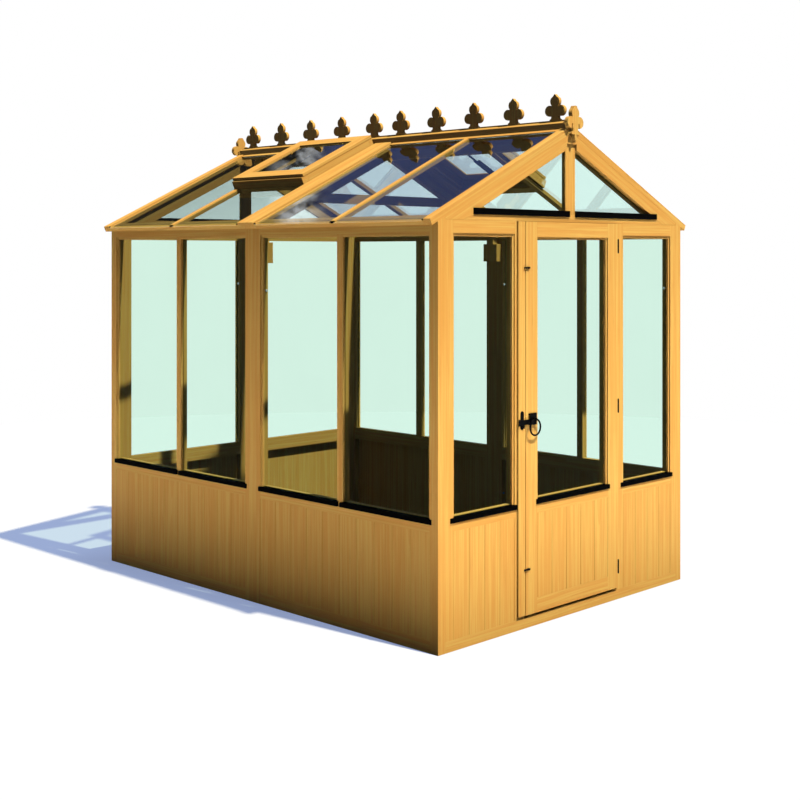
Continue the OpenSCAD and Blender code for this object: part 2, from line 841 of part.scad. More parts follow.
// One crest finial: a flared foot and neck between two round lobes, under a pointed lobe.
// Its right half is drawn from the foot's edge to the tip, in parts of its height h.
lobe_r = 0.21;
lobe_x = 0.262;
lobe_z = 0.37;
top_r = 0.218;
top_z = 0.725;
foot_half = 0.25;
foot_flare = 0.097;
arc_steps = 14;

// points on an arc about a middle, from one angle to another
function arc_points(x, z, r, from, to, steps) =
    [for (i = [0 : steps]) let (t = from + (to - from) * i / steps) [x + r * cos(t), z + r * sin(t)]];

function finial_half() = concat(
    [[foot_half, 0], [foot_half, foot_flare * 0.25]],
    arc_points(foot_half, foot_flare * 1.25, foot_flare * 0.85, -90, -180, 4),
    arc_points(lobe_x, lobe_z, lobe_r, -116, 120, arc_steps),
    arc_points(0, top_z, top_r, -42, 38, arc_steps / 2),
    [[0.128, 0.884], [0.084, 0.92], [0.045, 0.963], [0.02, 0.992], [0.006, 1]]);

function mirrored(half) =
    concat(half, [for (i = [len(half) - 1 : -1 : 0]) [-half[i][0], half[i][1]]]);

module finial_outline(h) {
    polygon(h * mirrored(finial_half()));
}

crest_step = (half_l - crest_last - crest_first) / (crest_count - 1);

// the crest behind the middle: a base strip with finials standing on it
module crest() {
    strip_top = cap_top_z + crest_base_h;
    block([-crest_t / 2, fit, cap_top_z], [crest_t / 2, half_l - crest_in, strip_top]);
    for (i = [0 : crest_count - 1])
        translate([-crest_t / 2, crest_first + i * crest_step, strip_top + seam])
            rotate([90, 0, 90]) linear_extrude(crest_t) finial_outline(crest_h - seam);
}

module front_crest() {
    color(front_wood) mirror([0, 1, 0]) crest();
}

module rear_crest() {
    color(front_wood) crest();
}

// Gable finial: a blunt pointed head over two side lobes that curl down beside the stem, and a
// pendant below. Its right half is drawn from the pendant's point upwards, in millimetres times
// the finial's height over the height that it was drawn at.
finial_top = cap_top_z + finial_up;
finial_k = finial_h / 160;
stem_half = 18;
curl_x = 26;
curl_r = 3.5;

function gable_finial_half() = concat(
    [[2.5, -160], [5, -155], [8, -147], [8, -134], [27, -134], [29, -130], [27, -125],
        [stem_half + 2, -120], [stem_half, -114], [stem_half, -108], [curl_x - curl_r, -102]],
    arc_points(curl_x, -87, curl_r, 180, 0, 6),
    [[curl_x + curl_r, -101], [33, -105.5]],
    arc_points(32, -78, 27.5, -80, 110, arc_steps),
    arc_points(0, -36, 27.5, -34, 44, arc_steps / 2),
    [[16, -13.5], [12, -7], [9, -2], [5, 0]]);

module gable_finial_outline() {
    translate([0, finial_top]) polygon(finial_k * mirrored(gable_finial_half()));
}

module gable_finial(packer_t) {
    half = stem_half * finial_k;
    low = finial_top - 130 * finial_k;
    translate([0, -packer_t - finial_t, 0]) upright(0, finial_t) gable_finial_outline();
    // packer between the plate and the raking rails
    if (packer_t > 0) translate([0, -packer_t, 0]) upright(0, packer_t)
        polygon([[-half, low], [half, low], [half, under_z(half)], [0, under_z(0)], [-half, under_z(half)]]);
}

module front_finial() {
    color(front_wood) on_front() gable_finial(0);
}

module rear_finial() {
    color(front_wood) on_rear() gable_finial(front_reach - finial_t);
}

// Middle truss under the joint of the roof panels.
module truss_rafters() {
    color(dark_wood) for (side = [0, 1]) mirror([side, 0, 0]) {
        x0 = ridge_beam_w / 2 + kiss;
        x1 = inner_x - kiss;
        translate([0, truss_t / 2, 0]) rotate([90, 0, 0]) linear_extrude(truss_t)
            polygon([[x0, under_z(x0)], [x1, under_z(x1)], [x1, under_z(x1) - rafter_h],
                [x0, under_z(x0) - rafter_h]]);
    }
}

tie_top = tie_z + tie_h / 2;
tie_low = tie_z - tie_h / 2;

module collar_tie() {
    reach = rafter_h * 0.2;
    half_top = (under_apex_z - kiss - reach - tie_top) / tan_p;
    half_low = (under_apex_z - kiss - reach - tie_low) / tan_p;
    color(dark_wood) translate([0, truss_t / 2 + tie_t, 0]) rotate([90, 0, 0]) linear_extrude(tie_t)
        polygon([[-half_low, tie_low], [half_low, tie_low], [half_top, tie_top], [-half_top, tie_top]]);
}

module heel_blocks() {
    foot_z = under_z(inner_x) - rafter_h;
    color(dark_wood) for (side = [0, 1]) mirror([side, 0, 0]) {
        block([inner_x - heel_t, -heel_w / 2, heel_z], [inner_x, heel_w / 2, heel_z + heel_w]);
        block([inner_x - heel_t, -truss_t / 2, heel_z + heel_w], [inner_x, truss_t / 2, foot_z]);
    }
}

// Vents. Each stands on a curb over an opening in the roof panel.
module curb() {
    y0 = vent_y0 + curb_side;
    y1 = vent_y1 - curb_side;
    low_a = curb_a1 - curb_low_t;
    top_a = vent_a0 + curb_wall_t;
    bar_edge = roof_bar_y - roof_bar_w / 2 - 1;
    // upper wall on the top rail
    block([vent_a0, y0, bar_c + kiss], [top_a, y1, curb_up]);
    // side wall next to mid wall, down to the shoulder, and the far one over the bar
    block([top_a + seam, y0, bar_c + kiss], [low_a - seam, y0 + curb_wall_t, curb_up]);
    block([top_rail_a + seam, y0, seat_c + kiss], [low_a - seam, y0 + curb_wall_t, bar_c + kiss]);
    block([top_a + seam, y1 - curb_wall_t, bar_c + kiss], [low_a - seam, y1, curb_up]);
    block([top_rail_a + seam, y1 - curb_wall_t, strip_c + kiss], [low_a - seam, y1, bar_c + kiss]);
    // lower wall on the trimmer and over the bar
    block([low_a, y0, strip_c + kiss], [curb_a1, y1, curb_up]);
    block([low_a, y0, seat_c + kiss], [curb_a1, bar_edge, strip_c + kiss]);
}

// places a vent's pieces: on the left slope behind mid wall, on the right slope in front of it
module at_vent(left) {
    mirror([0, left ? 0 : 1, 0]) on_slope(left) children();
}

module vent_curbs() {
    color(front_wood) for (left = [true, false]) at_vent(left) curb();
}

lid_a0 = vent_a0;
lid_a1 = curb_a1 - curb_past;
lid_c0 = curb_up + 0.3;
lid_c1 = lid_c0 + lid_t;
lid_glass_c = lid_c1 - 8;
stay_y = (vent_y0 + vent_y1) / 2;
stay_pivot_a = lid_a1 - lid_rail_w - 14;
stay_pivot_c = lid_c0 - 6;
// the stay's plate, its ears, its rod and the pin that it turns on
stay_plate_l = 150;
stay_w = 46;
stay_t = 6;
ear_r = 7;
rod_w = 11;
stay_pin_r = 2.5;

module vent_lid() {
    in0 = vent_y0 + lid_rail_w;
    in1 = vent_y1 - lid_rail_w;
    a0 = lid_a0 + lid_rail_w;
    a1 = lid_a1 - lid_rail_w;
    shoulder_c = lid_glass_c - glass_t;
    // side rails run full length, with the shoulder that the pane lies on
    for (y = [vent_y0, in1]) block([lid_a0, y, lid_c0], [lid_a1, y + lid_rail_w, lid_c1]);
    for (y = [in0, in1 - bead_w]) block([a0 + seam, y, lid_c0], [a1 - seam, y + bead_w, shoulder_c]);
    // upper and lower rails between them
    for (a = [lid_a0, a1]) block([a, in0 + seam, lid_c0], [a + lid_rail_w, in1 - seam, lid_c1]);
    for (a = [a0, a1 - bead_w])
        block([a, in0 + bead_w + seam, lid_c0], [a + bead_w, in1 - bead_w - seam, shoulder_c]);
}

module vent_pane() {
    block([lid_a0 + lid_rail_w + 1, vent_y0 + lid_rail_w + 1, lid_glass_c - glass_t],
        [lid_a1 - lid_rail_w - 1, vent_y1 - lid_rail_w - 1, lid_glass_c]);
}

// a bracket under the lid's lower rail that the stay turns on
module stay_bracket() {
    cheek_t = 3;
    reach = stay_w / 2 + 1 + cheek_t;
    for (y = [stay_y - reach, stay_y + reach - cheek_t])
        block([stay_pivot_a - 6, y, stay_pivot_c - 6], [stay_pivot_a + 26, y + cheek_t, lid_c0]);
    translate([stay_pivot_a, stay_y - reach, stay_pivot_c]) rotate([-90, 0, 0])
        cylinder(r = stay_pin_r, h = 2 * reach);
}

module left_vent_lid() {
    color(front_wood) at_vent(true) vent_lid();
}

module right_vent_lid() {
    color(front_wood) at_vent(false) vent_lid();
}

module left_vent_glass() {
    color(roof_pane, 0.4) at_vent(true) vent_pane();
}

module right_vent_glass() {
    color(roof_pane, 0.4) at_vent(false) vent_pane();
}

// the stay: a flat plate with two holes and a rod at its upper end, folded up the slope
module vent_stay() {
    low = stay_pivot_c - stay_t / 2;
    plate_end = stay_pivot_a - stay_plate_l;
    ear_x = stay_w / 2 - ear_r;
    difference() {
        union() {
            block([plate_end, stay_y - stay_w / 2, low], [stay_pivot_a, stay_y + stay_w / 2, low + stay_t]);
            // two ears and the rod
            for (side = [-1, 1]) translate([plate_end, stay_y + side * ear_x, low])
                cylinder(r = ear_r, h = stay_t);
            block([stay_pivot_a - stay_l, stay_y - rod_w, low], [plate_end + 1, stay_y, low + stay_t]);
            translate([stay_pivot_a, stay_y - stay_w / 2, stay_pivot_c]) rotate([-90, 0, 0])
                cylinder(r = 6, h = stay_w);
        }
        translate([stay_pivot_a, stay_y - stay_w, stay_pivot_c]) rotate([-90, 0, 0])
            cylinder(r = stay_pin_r + 0.3, h = 2 * stay_w);
        for (side = [-1, 1]) translate([plate_end + 14, stay_y + side * ear_x, low - 1])
            cylinder(r = 4, h = stay_t + 2);
    }
}

module left_vent_stay() {
    color(black_metal) at_vent(true) vent_stay();
}

module right_vent_stay() {
    color(black_metal) at_vent(false) vent_stay();
}

module stay_pegs() {
    // a peg on a plate, on the inner face of each curb's lower wall
    color(black_metal) for (left = [true, false]) at_vent(left) {
        block([curb_a1 - curb_low_t - 3, stay_y - 35, -8], [curb_a1 - curb_low_t, stay_y - 15, 14]);
        translate([curb_a1 - curb_low_t - 18, stay_y - 25, 3]) rotate([0, 90, 0]) cylinder(r = 2.2, h = 15.5);
    }
}

// Vent hinges on the curb's upper face, two to a vent.
vent_hinge_a = vent_a0 - 5;
vent_hinge_c = curb_up + 0.15;
vent_hinge_l = 60;
vent_hinge_in = vent_hinge_l * 11 / 6;
vent_hinge_ys = [vent_y0 + vent_hinge_in, vent_y1 - vent_hinge_in];
vent_leaf_t = 2;
vent_leaf_h = 18;

module hinge_knuckle(y, l) {
    translate([vent_hinge_a, y, vent_hinge_c]) rotate([-90, 0, 0]) cylinder(r = knuckle_r, h = l);
}

module vent_hinge_fixed(y) {
    third = vent_hinge_l / 3;
    y0 = y - vent_hinge_l / 2;
    low = vent_hinge_c - knuckle_r;
    translate([vent_hinge_a, y0 + 1, vent_hinge_c]) rotate([-90, 0, 0])
        cylinder(r = pin_r, h = vent_hinge_l - 2);
    for (k = [0, 2]) {
        hinge_knuckle(y0 + k * third, third);
        block([vent_hinge_a, y0 + k * third, low - 1], [vent_a0, y0 + (k + 1) * third, low + vent_leaf_t]);
    }
    block([vent_a0 - vent_leaf_t, y0, low - vent_leaf_h], [vent_a0, y0 + vent_hinge_l, low - 0.2]);
}

module vent_hinge_moving(y) {
    third = vent_hinge_l / 3;
    y0 = y - third / 2 + 0.4;
    l = third - 0.8;
    difference() {
        union() {
            hinge_knuckle(y0, l);
            block([vent_hinge_a, y0, vent_hinge_c + knuckle_r - vent_leaf_t], [vent_a0, y0 + l,
                vent_hinge_c + knuckle_r]);
            block([vent_a0 - vent_leaf_t, y0, vent_hinge_c + knuckle_r - vent_leaf_t],
                [vent_a0, y0 + l, lid_c1 - 2]);
        }
        translate([vent_hinge_a, y0 - 1, vent_hinge_c]) rotate([-90, 0, 0])
            cylinder(r = pin_r + 0.3, h = l + 2);
    }
}

module vent_hinges_fixed() {
    color(black_metal) for (left = [true, false]) at_vent(left)
        for (y = vent_hinge_ys) vent_hinge_fixed(y);
}

module left_vent_hinges() {
    color(black_metal) at_vent(true) {
        for (y = vent_hinge_ys) vent_hinge_moving(y);
        stay_bracket();
    }
}

module right_vent_hinges() {
    color(black_metal) at_vent(false) {
        for (y = vent_hinge_ys) vent_hinge_moving(y);
        stay_bracket();
    }
}

// Door. It stands a little out from the front wall and turns on pins just in front of it.
door_pane_x0 = door_x0 + door_stile_w;
door_pane_x1 = door_x1 - door_stile_w;
door_pane_top = door_z1 - door_top_h;
door_sill_top = door_sill_z + sill_h + 1;
door_mid_z = door_sill_z - door_mid_h;
door_bottom_top = door_z0 + door_bottom_h;

module door_frame() {
    in0 = door_pane_x0 + seam;
    in1 = door_pane_x1 - seam;
    color(front_wood) on_door() {
        // stiles with the shoulders behind the pane; the left one is bored for the spindle
        difference() {
            union() for (x = [door_x0, door_pane_x1])
                block([x, 0, door_z0], [x + door_stile_w, door_t, door_z1]);
            translate([latch_x, door_t + 1, latch_z]) rotate([90, 0, 0])
                cylinder(r = spindle_r + spindle_clear, h = door_t + 2);
        }
        for (x = [door_pane_x0, door_pane_x1 - bead_w])
            block([x, rail_front, door_sill_top + seam], [x + bead_w, door_t, door_pane_top - seam]);
        block([in0, 0, door_pane_top], [in1, door_t, door_z1]);
        block([in0 + bead_w, rail_front, door_pane_top - bead_w], [in1 - bead_w, door_t, door_pane_top]);
        // middle rail, rebated for the boards, and bottom rail
        block([in0, 0, door_mid_z], [in1, door_t, door_sill_z]);
        block([in0, rail_front, door_sill_z], [in1, door_t, door_sill_top]);
        block([in0 + bead_w, rail_front, door_sill_top], [in1 - bead_w, door_t, door_sill_top + sill_lap]);
        block([in0, board_t + fit, door_mid_z - board_t], [in1, door_t, door_mid_z]);
        block([in0, 0, door_z0], [in1, door_t, door_bottom_top]);
        block([in0, board_t + fit, door_bottom_top], [in1, door_t, door_bottom_top + board_t]);
        // beads in front of the glass
        for (x = [in0, in1 - bead_w])
            block([x, bead_back, door_sill_top], [x + bead_w, pane_back, door_pane_top - seam]);
        block([in0 + bead_w + seam, bead_back, door_pane_top - bead_w],
            [in1 - bead_w - seam, pane_back, door_pane_top - seam]);
    }
}

module door_boards() {
    color(front_wood) on_door() boards(door_pane_x0, door_pane_x1, door_bottom_top, door_mid_z);
}

module door_glass() {
    color(clear_glass, 0.4) on_door() pane(door_pane_x0, door_pane_x1, door_sill_top, door_pane_top);
}

module door_sill() {
    color(black_metal) on_door() sill(door_pane_x0 + seam, door_pane_x1 - seam, 8, 10, door_sill_z);
}

module door_hinge_leaves() {
    third = hinge_l / 3;
    color(black_metal) for (z = hinge_zs) difference() {
        union() {
            translate([axis_x, axis_y, z - third / 2 + 0.4]) cylinder(r = knuckle_r, h = third - 0.8);
            block([door_x1, axis_y, z - third / 2 + 0.4],
                [door_x1 + leaf_t, door_face + 2, z + third / 2 - 0.4]);
            block([door_x1, door_face + 0.2, z - hinge_l / 2],
                [door_x1 + leaf_t, door_face + leaf_w, z + hinge_l / 2]);
        }
        translate([axis_x, axis_y, z - hinge_l / 2]) cylinder(r = pin_r + 0.3, h = hinge_l);
    }
}

module frame_hinge_leaves() {
    third = hinge_l / 3;
    color(black_metal) for (z = hinge_zs) {
        translate([axis_x, axis_y, z - hinge_l / 2 - 1.5]) cylinder(r = pin_r, h = hinge_l + 3);
        for (k = [-1, 1]) {
            translate([axis_x, axis_y, z + k * third - third / 2]) cylinder(r = knuckle_r, h = third);
            block([jamb_x - leaf_t, axis_y, z + k * third - third / 2],
                [jamb_x, door_face + 2, z + k * third + third / 2]);
        }
        block([jamb_x - leaf_t, door_face + 0.2, z - hinge_l / 2],
            [jamb_x, door_face + leaf_w, z + hinge_l / 2]);
    }
}

// Ring latch: a hollow square plate on the door, a bar that swings in it and lies over the strip,
// and a ring through the spindle's boss.
latch_x = door_x0 + 43;
keep_x = slam_x0 + 24;
keep_t = 2.4;
keep_r = 11;
latch_bar_t = 4.4;
bar_front = keep_t + 0.6 + latch_bar_t;
bar_h = 22;
bar_l = 86;
hub_r = 10;
spindle_clear = 0.3;
boss_w = 9;
boss_h = 14;
ring_clear = 0.7;
ring_y = -ring_reach + 2 + ring_bar_d / 2 + ring_clear;
ring_r = ring_d / 2 - ring_bar_d / 2;

module latch_plate() {
    half = plate_w / 2;
    bevel = 6;
    color(black_metal) on_door() {
        difference() {
            // square block bevelled on its four front edges
            intersection() {
                translate([latch_x - half, 0, latch_z]) rotate([0, 90, 0]) linear_extrude(plate_w)
                    plate_section(half, bevel);
                translate([latch_x, 0, latch_z - half]) linear_extrude(plate_w) plate_section(half, bevel);
            }
            // room for the bar to swing, open towards the strip
            block([latch_x - half - 1, -bar_front - 0.6, latch_z - bar_h - 1],
                [latch_x + hub_r + 3, 1, latch_z + half - 8]);
            translate([latch_x, 1, latch_z]) rotate([90, 0, 0])
                cylinder(r = spindle_r + spindle_clear, h = plate_t + 2);
        }
        // screws that the turn buttons turn on
        for (z = button_zs) translate([button_x, 0, z]) rotate([90, 0, 0]) {
            cylinder(r = screw_r, h = button_y + button_t + 1);
            cylinder(r = 5, h = button_y - 0.2);
            translate([0, 0, button_y + button_t + 0.2]) cylinder(r = 5, h = 1.4);
        }
    }
}

module plate_section(half, bevel) {
    polygon([[-half, 0], [half, 0], [half, -plate_t + bevel / 2], [half - bevel, -plate_t],
        [bevel - half, -plate_t], [-half, -plate_t + bevel / 2]]);
}

module latch_bar() {
    boss_y = ring_y + ring_bar_d / 2 + ring_clear + 3;
    color(black_metal) on_door() difference() {
        union() {
            // spindle through the door, hub in the plate
            translate([latch_x, boss_y - 1, latch_z]) rotate([-90, 0, 0])
                cylinder(r = spindle_r, h = door_t - boss_y - 1);
            translate([latch_x, -keep_t - 0.6, latch_z]) rotate([90, 0, 0])
                cylinder(r = hub_r, h = latch_bar_t);
            // bar towards the strip, with a small head beyond the keep
            block([latch_x - bar_l, -bar_front, latch_z - bar_h], [latch_x, -keep_t - 0.6, latch_z]);
            block([latch_x - bar_l - 12, -bar_front - 1, latch_z - bar_h - 3],
                [latch_x - bar_l, -keep_t - 0.6, latch_z + 3]);
            // boss that the ring hangs through
            block([latch_x - boss_w / 2, -ring_reach, latch_z - boss_h / 2],
                [latch_x + boss_w / 2, boss_y, latch_z + boss_h / 2]);
        }
        translate([latch_x - boss_w, ring_y, latch_z]) rotate([0, 90, 0])
            cylinder(r = ring_bar_d / 2 + ring_clear, h = 2 * boss_w);
    }
}

module latch_ring() {
    color(black_metal) on_door()
        translate([latch_x, ring_y, latch_z - ring_r]) rotate([90, 0, 0]) rotate_extrude($fn = 48)
            translate([ring_r, 0]) circle(d = ring_bar_d, $fn = 16);
}

module latch_keep() {
    top = latch_z + 40;
    low = latch_z - 43;
    bar_low = latch_z - bar_h - 0.3;
    color(black_metal) on_door() {
        // plate with round ends behind the bar
        upright(-keep_t, keep_t) polygon(concat(arc_points(keep_x, top - keep_r, keep_r, 0, 180, 8),
            arc_points(keep_x, low + keep_r, keep_r, 180, 360, 8)));
        // wedge that the bar rests on
        upright(-bar_front - 1, bar_front + 1 - keep_t) polygon([[keep_x + 10, bar_low - 16],
            [keep_x - 6, bar_low - 6], [keep_x - 6, bar_low], [keep_x + 10, bar_low]]);
    }
}

// Turn buttons on the door's edge, each on a screw.
button_x = door_x0 + 14;
button_tail = 30;
button_nose = 9;
button_w = 8;
button_y = 3;
button_t = 4;
screw_r = 2.2;

module button(z) {
    color(black_metal) on_door() difference() {
        block([button_x - button_tail, -button_y - button_t, z - button_w / 2],
            [button_x + button_nose, -button_y, z + button_w / 2]);
        translate([button_x, 0, z]) rotate([90, 0, 0])
            cylinder(r = screw_r + 0.3, h = button_y + button_t + 1);
    }
}

module upper_button() {
    button(button_zs[1]);
}

module lower_button() {
    button(button_zs[0]);
}

// Fixings: screws at the corners from inside, bolts through the stiles that meet in mid wall.
module hex_bolt(shank, nut) {
    cylinder(r = bolt_d / 2, h = shank);
    translate([0, 0, -5]) cylinder(r = bolt_d * 0.85, h = 5, $fn = 6);
    if (nut) translate([0, 0, shank - 7]) cylinder(r = bolt_d * 0.85, h = 6, $fn = 6);
}

// how much wider a stile is at a fixing's height, where the pane's shoulder is
function shoulder_at(z) = z > sill_top && z < head_z ? stile_lap : 0;

module panel_bolts() {
    nut_end = 7;
    color(black_metal) for (z = bolt_zs) {
        reach = corner_stile_w + shoulder_at(z);
        for (side = [-1, 1], end = [-1, 1])
            translate([side * (inner_x - reach), end * (half_l - bolt_depth), z])
                rotate([0, 90 * side, 0]) hex_bolt(reach + screw_bite, false);
        mid_reach = mid_stile_w + shoulder_at(z);
        for (side = [-1, 1])
            translate([side * (half_w - bolt_depth), -mid_reach, z]) rotate([-90, 0, 0])
                hex_bolt(2 * mid_reach + nut_end, true);
        rear_reach = rear_stile_w + shoulder_at(z);
        translate([-rear_reach, half_l - bolt_depth, z]) rotate([0, 90, 0])
            hex_bolt(2 * rear_reach + nut_end, true);
    }
}

left_front_frame();
left_rear_frame();
right_front_frame();
right_rear_frame();
front_wall_frame();
rear_wall_frame();
front_gable_frame();
rear_gable_frame();
slam_strip();
left_boards();
right_boards();
front_boards();
rear_boards();
left_glass();
right_glass();
front_glass();
rear_glass();
wall_sills();
wall_beads();
roof_left_front_frame();
roof_left_rear_frame();
roof_right_front_frame();
roof_right_rear_frame();
roof_left_glass();
roof_right_glass();
roof_cappings();
glass_clips();
ridge_beam();
ridge_cap();
front_crest();
rear_crest();
front_finial();
rear_finial();
truss_rafters();
collar_tie();
heel_blocks();
vent_curbs();
stay_pegs();
left_vent_lid();
left_vent_glass();
left_vent_stay();
right_vent_lid();
right_vent_glass();
right_vent_stay();
vent_hinges_fixed();
left_vent_hinges();
right_vent_hinges();
door_frame();
door_boards();
door_glass();
door_sill();
door_hinge_leaves();
frame_hinge_leaves();
latch_plate();
latch_bar();
latch_ring();
latch_keep();
upper_button();
lower_button();
panel_bolts();
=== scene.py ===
"""Dressed model of a small timber greenhouse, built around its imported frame."""

import logging
import math
import random
from dataclasses import dataclass
from enum import Enum

import bmesh
import bpy
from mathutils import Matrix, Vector


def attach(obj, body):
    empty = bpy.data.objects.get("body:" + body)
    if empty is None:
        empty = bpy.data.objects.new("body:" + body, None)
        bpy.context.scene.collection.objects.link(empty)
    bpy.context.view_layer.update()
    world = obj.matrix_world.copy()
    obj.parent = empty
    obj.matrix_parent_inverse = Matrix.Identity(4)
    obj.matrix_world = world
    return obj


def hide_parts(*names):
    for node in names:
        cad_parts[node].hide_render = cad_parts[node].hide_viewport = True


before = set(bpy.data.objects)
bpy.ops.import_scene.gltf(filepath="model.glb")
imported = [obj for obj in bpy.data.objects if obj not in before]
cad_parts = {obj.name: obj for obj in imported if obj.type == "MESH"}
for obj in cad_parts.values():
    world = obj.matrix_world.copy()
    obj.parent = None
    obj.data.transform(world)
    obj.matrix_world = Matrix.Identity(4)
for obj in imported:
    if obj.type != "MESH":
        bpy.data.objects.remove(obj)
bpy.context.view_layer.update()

LOG = logging.getLogger("greenhouse")
MM = 0.001
Triple = tuple[float, float, float]
Span = tuple[float, float]
Pair = tuple[float, float]
Socket = bpy.types.NodeSocket
BLACK: Triple = (0.0, 0.0, 0.0)
WHITE: Triple = (1.0, 1.0, 1.0)


class Grain(Enum):
    """Which way the grain runs in a member."""

    ALONG = "along its longest edges"
    UP = "upright"


class Slot(Enum):
    """The record's material slots for timber; the other pieces keep their nodes' own."""

    TIMBER = "oiled_softwood"
    SHADED = "shaded_softwood"


def srgb(red: int, green: int, blue: int) -> Triple:
    """Turn a display colour into a linear one.

    Args:
        red: red level from 0 to 255.
        green: green level from 0 to 255.
        blue: blue level from 0 to 255.

    Returns:
        The linear colour.
    """
    def linear(level: int) -> float:
        """Return one level as linear light, by the display's own curve."""
        part = level / 255
        return part / 12.92 if part <= 0.04045 else ((part + 0.055) / 1.055) ** 2.4

    return linear(red), linear(green), linear(blue)


class Graph:
    """A short way to lay nodes in one tree and join them."""

    def __init__(self, tree: bpy.types.NodeTree) -> None:
        """Keep the tree that the nodes go into."""
        self.tree = tree

    def link(self, source: Socket, target: Socket) -> None:
        """Join an output to an input."""
        self.tree.links.new(source, target)

    def add(self, kind: str, inputs: dict | None = None, **settings: object) -> bpy.types.Node:
        """Add a node, set its options and fill its inputs.

        Args:
            kind: the node's Blender type.
            inputs: input name or index to a value or to an output socket.
            settings: attributes of the node itself.

        Returns:
            The new node.
        """
        node = self.tree.nodes.new(kind)
        for name, value in settings.items():
            setattr(node, name, value)
        for name, value in (inputs or {}).items():
            if isinstance(value, bpy.types.NodeSocket):
                self.link(value, node.inputs[name])
            elif value is not None:
                socket = node.inputs[name]
                if socket.type == "RGBA" and len(value) == 3:
                    value = (*value, 1.0)
                socket.default_value = value
        return node

    def math(self, operation: str, a: object, b: object = None, c: object = None) -> Socket:
        """Add a math node.

        Args:
            operation: the node's operation.
            a: first value or socket.
            b: second value or socket.
            c: third value or socket.

        Returns:
            The node's output.
        """
        given = {i: v for i, v in enumerate((a, b, c)) if v is not None}
        return self.add("ShaderNodeMath", given, operation=operation).outputs[0]

    def mix(self, factor: object, a: object, b: object, blend: str = "MIX") -> Socket:
        """Add a colour mix.

        Args:
            factor: share of the second colour.
            a: first colour or socket.
            b: second colour or socket.
            blend: the blend mode.

        Returns:
            The mixed colour.
        """
        node = self.add("ShaderNodeMix", {0: factor, 6: a, 7: b}, data_type="RGBA", blend_type=blend)
        return node.outputs[2]

    def fade(self, value: Socket, span: Span, falling: bool = False) -> Socket:
        """Turn a span of a value into a smooth step between 0 and 1.

        Args:
            value: the socket to read.
            span: where the step starts and ends.
            falling: whether it goes down to 0 rather than up to 1.

        Returns:
            The step, level beyond the span.
        """
        start, end = (1.0, 0.0) if falling else (0.0, 1.0)
        node = self.add("ShaderNodeMapRange", {0: value, 1: span[0], 2: span[1], 3: start, 4: end},
                        interpolation_type="SMOOTHSTEP")
        return node.outputs[0]

    def length(self, a: Socket, b: Socket) -> Socket:
        """Work out the length of a flat vector.

        Args:
            a: its first part.
            b: its second part.

        Returns:
            The length.
        """
        squares = self.math("ADD", self.math("POWER", a, 2.0), self.math("POWER", b, 2.0))
        return self.math("POWER", squares, 0.5)

    def noise(self, vector: Socket, scales: Triple, detail: float = 2.0,
              roughness: float = 0.5) -> Socket:
        """Add a noise texture with a scale of its own along each axis.

        Args:
            vector: where it is read.
            scales: its scale along each axis.
            detail: its octaves.
            roughness: weight of the finer octaves.

        Returns:
            The noise value.
        """
        place = self.add("ShaderNodeVectorMath", {0: vector, 1: scales}, operation="MULTIPLY")
        inputs = {"Vector": place.outputs[0], "Scale": 1.0, "Detail": detail,
                  "Roughness": roughness}
        return self.add("ShaderNodeTexNoise", inputs).outputs[0]


@dataclass(frozen=True)
class GrainLook:
    """How timber's grain is drawn; scales are per metre, along a member and twice across it.

    Attributes:
        drift_scales: scales of the rings' slow drift.
        drift: how far the rings drift, in metres.
        rings: rings per metre.
        late_wood: span of a ring that darkens into late wood.
        streak_scales: scales of the streaks.
        fibre_scales: scales of the fibres.
        patch_scales: scales of the broad patches.
        band_scales: scales of the bands, a few across a member.
        fine_roughness: weight of the finer octaves of streaks and fibres.
        streak_span: span of the streaks' noise that darkens the body.
        band_span: span of the bands' noise that darkens it.
        patch_span: span of the patches' noise that darkens it.
        streak_part: how much the streaks darken the body.
        late_part: how much the late wood does.
        band_part: how much the bands do.
        patch_part: how much the patches do.
        tone_part: how much the member's own tone does.
        pore_streaks: span of the streaks' noise that opens pores.
        pore_fibres: span of the fibres' noise that opens them.
        pore_depth: share of the streak's colour in a pore.
        fibre_roughness: roughness that the fibres add.
        late_height: height of late wood beside that of the fibres.
    """

    drift_scales: Triple = (0.9, 5.0, 5.0)
    drift: float = 0.05
    rings: float = 95.0
    late_wood: Span = (0.55, 0.97)
    streak_scales: Triple = (5.0, 170.0, 170.0)
    fibre_scales: Triple = (18.0, 620.0, 620.0)
    patch_scales: Triple = (1.3, 7.0, 7.0)
    band_scales: Triple = (1.6, 72.0, 72.0)
    fine_roughness: float = 0.6
    streak_span: Span = (0.35, 0.7)
    band_span: Span = (0.32, 0.68)
    patch_span: Span = (0.3, 0.7)
    streak_part: float = 0.2
    late_part: float = 0.3
    band_part: float = 0.5
    patch_part: float = 0.16
    tone_part: float = 0.16
    pore_streaks: Span = (0.56, 0.76)
    pore_fibres: Span = (0.42, 0.66)
    pore_depth: float = 0.6
    fibre_roughness: float = 0.18
    late_height: float = 0.35


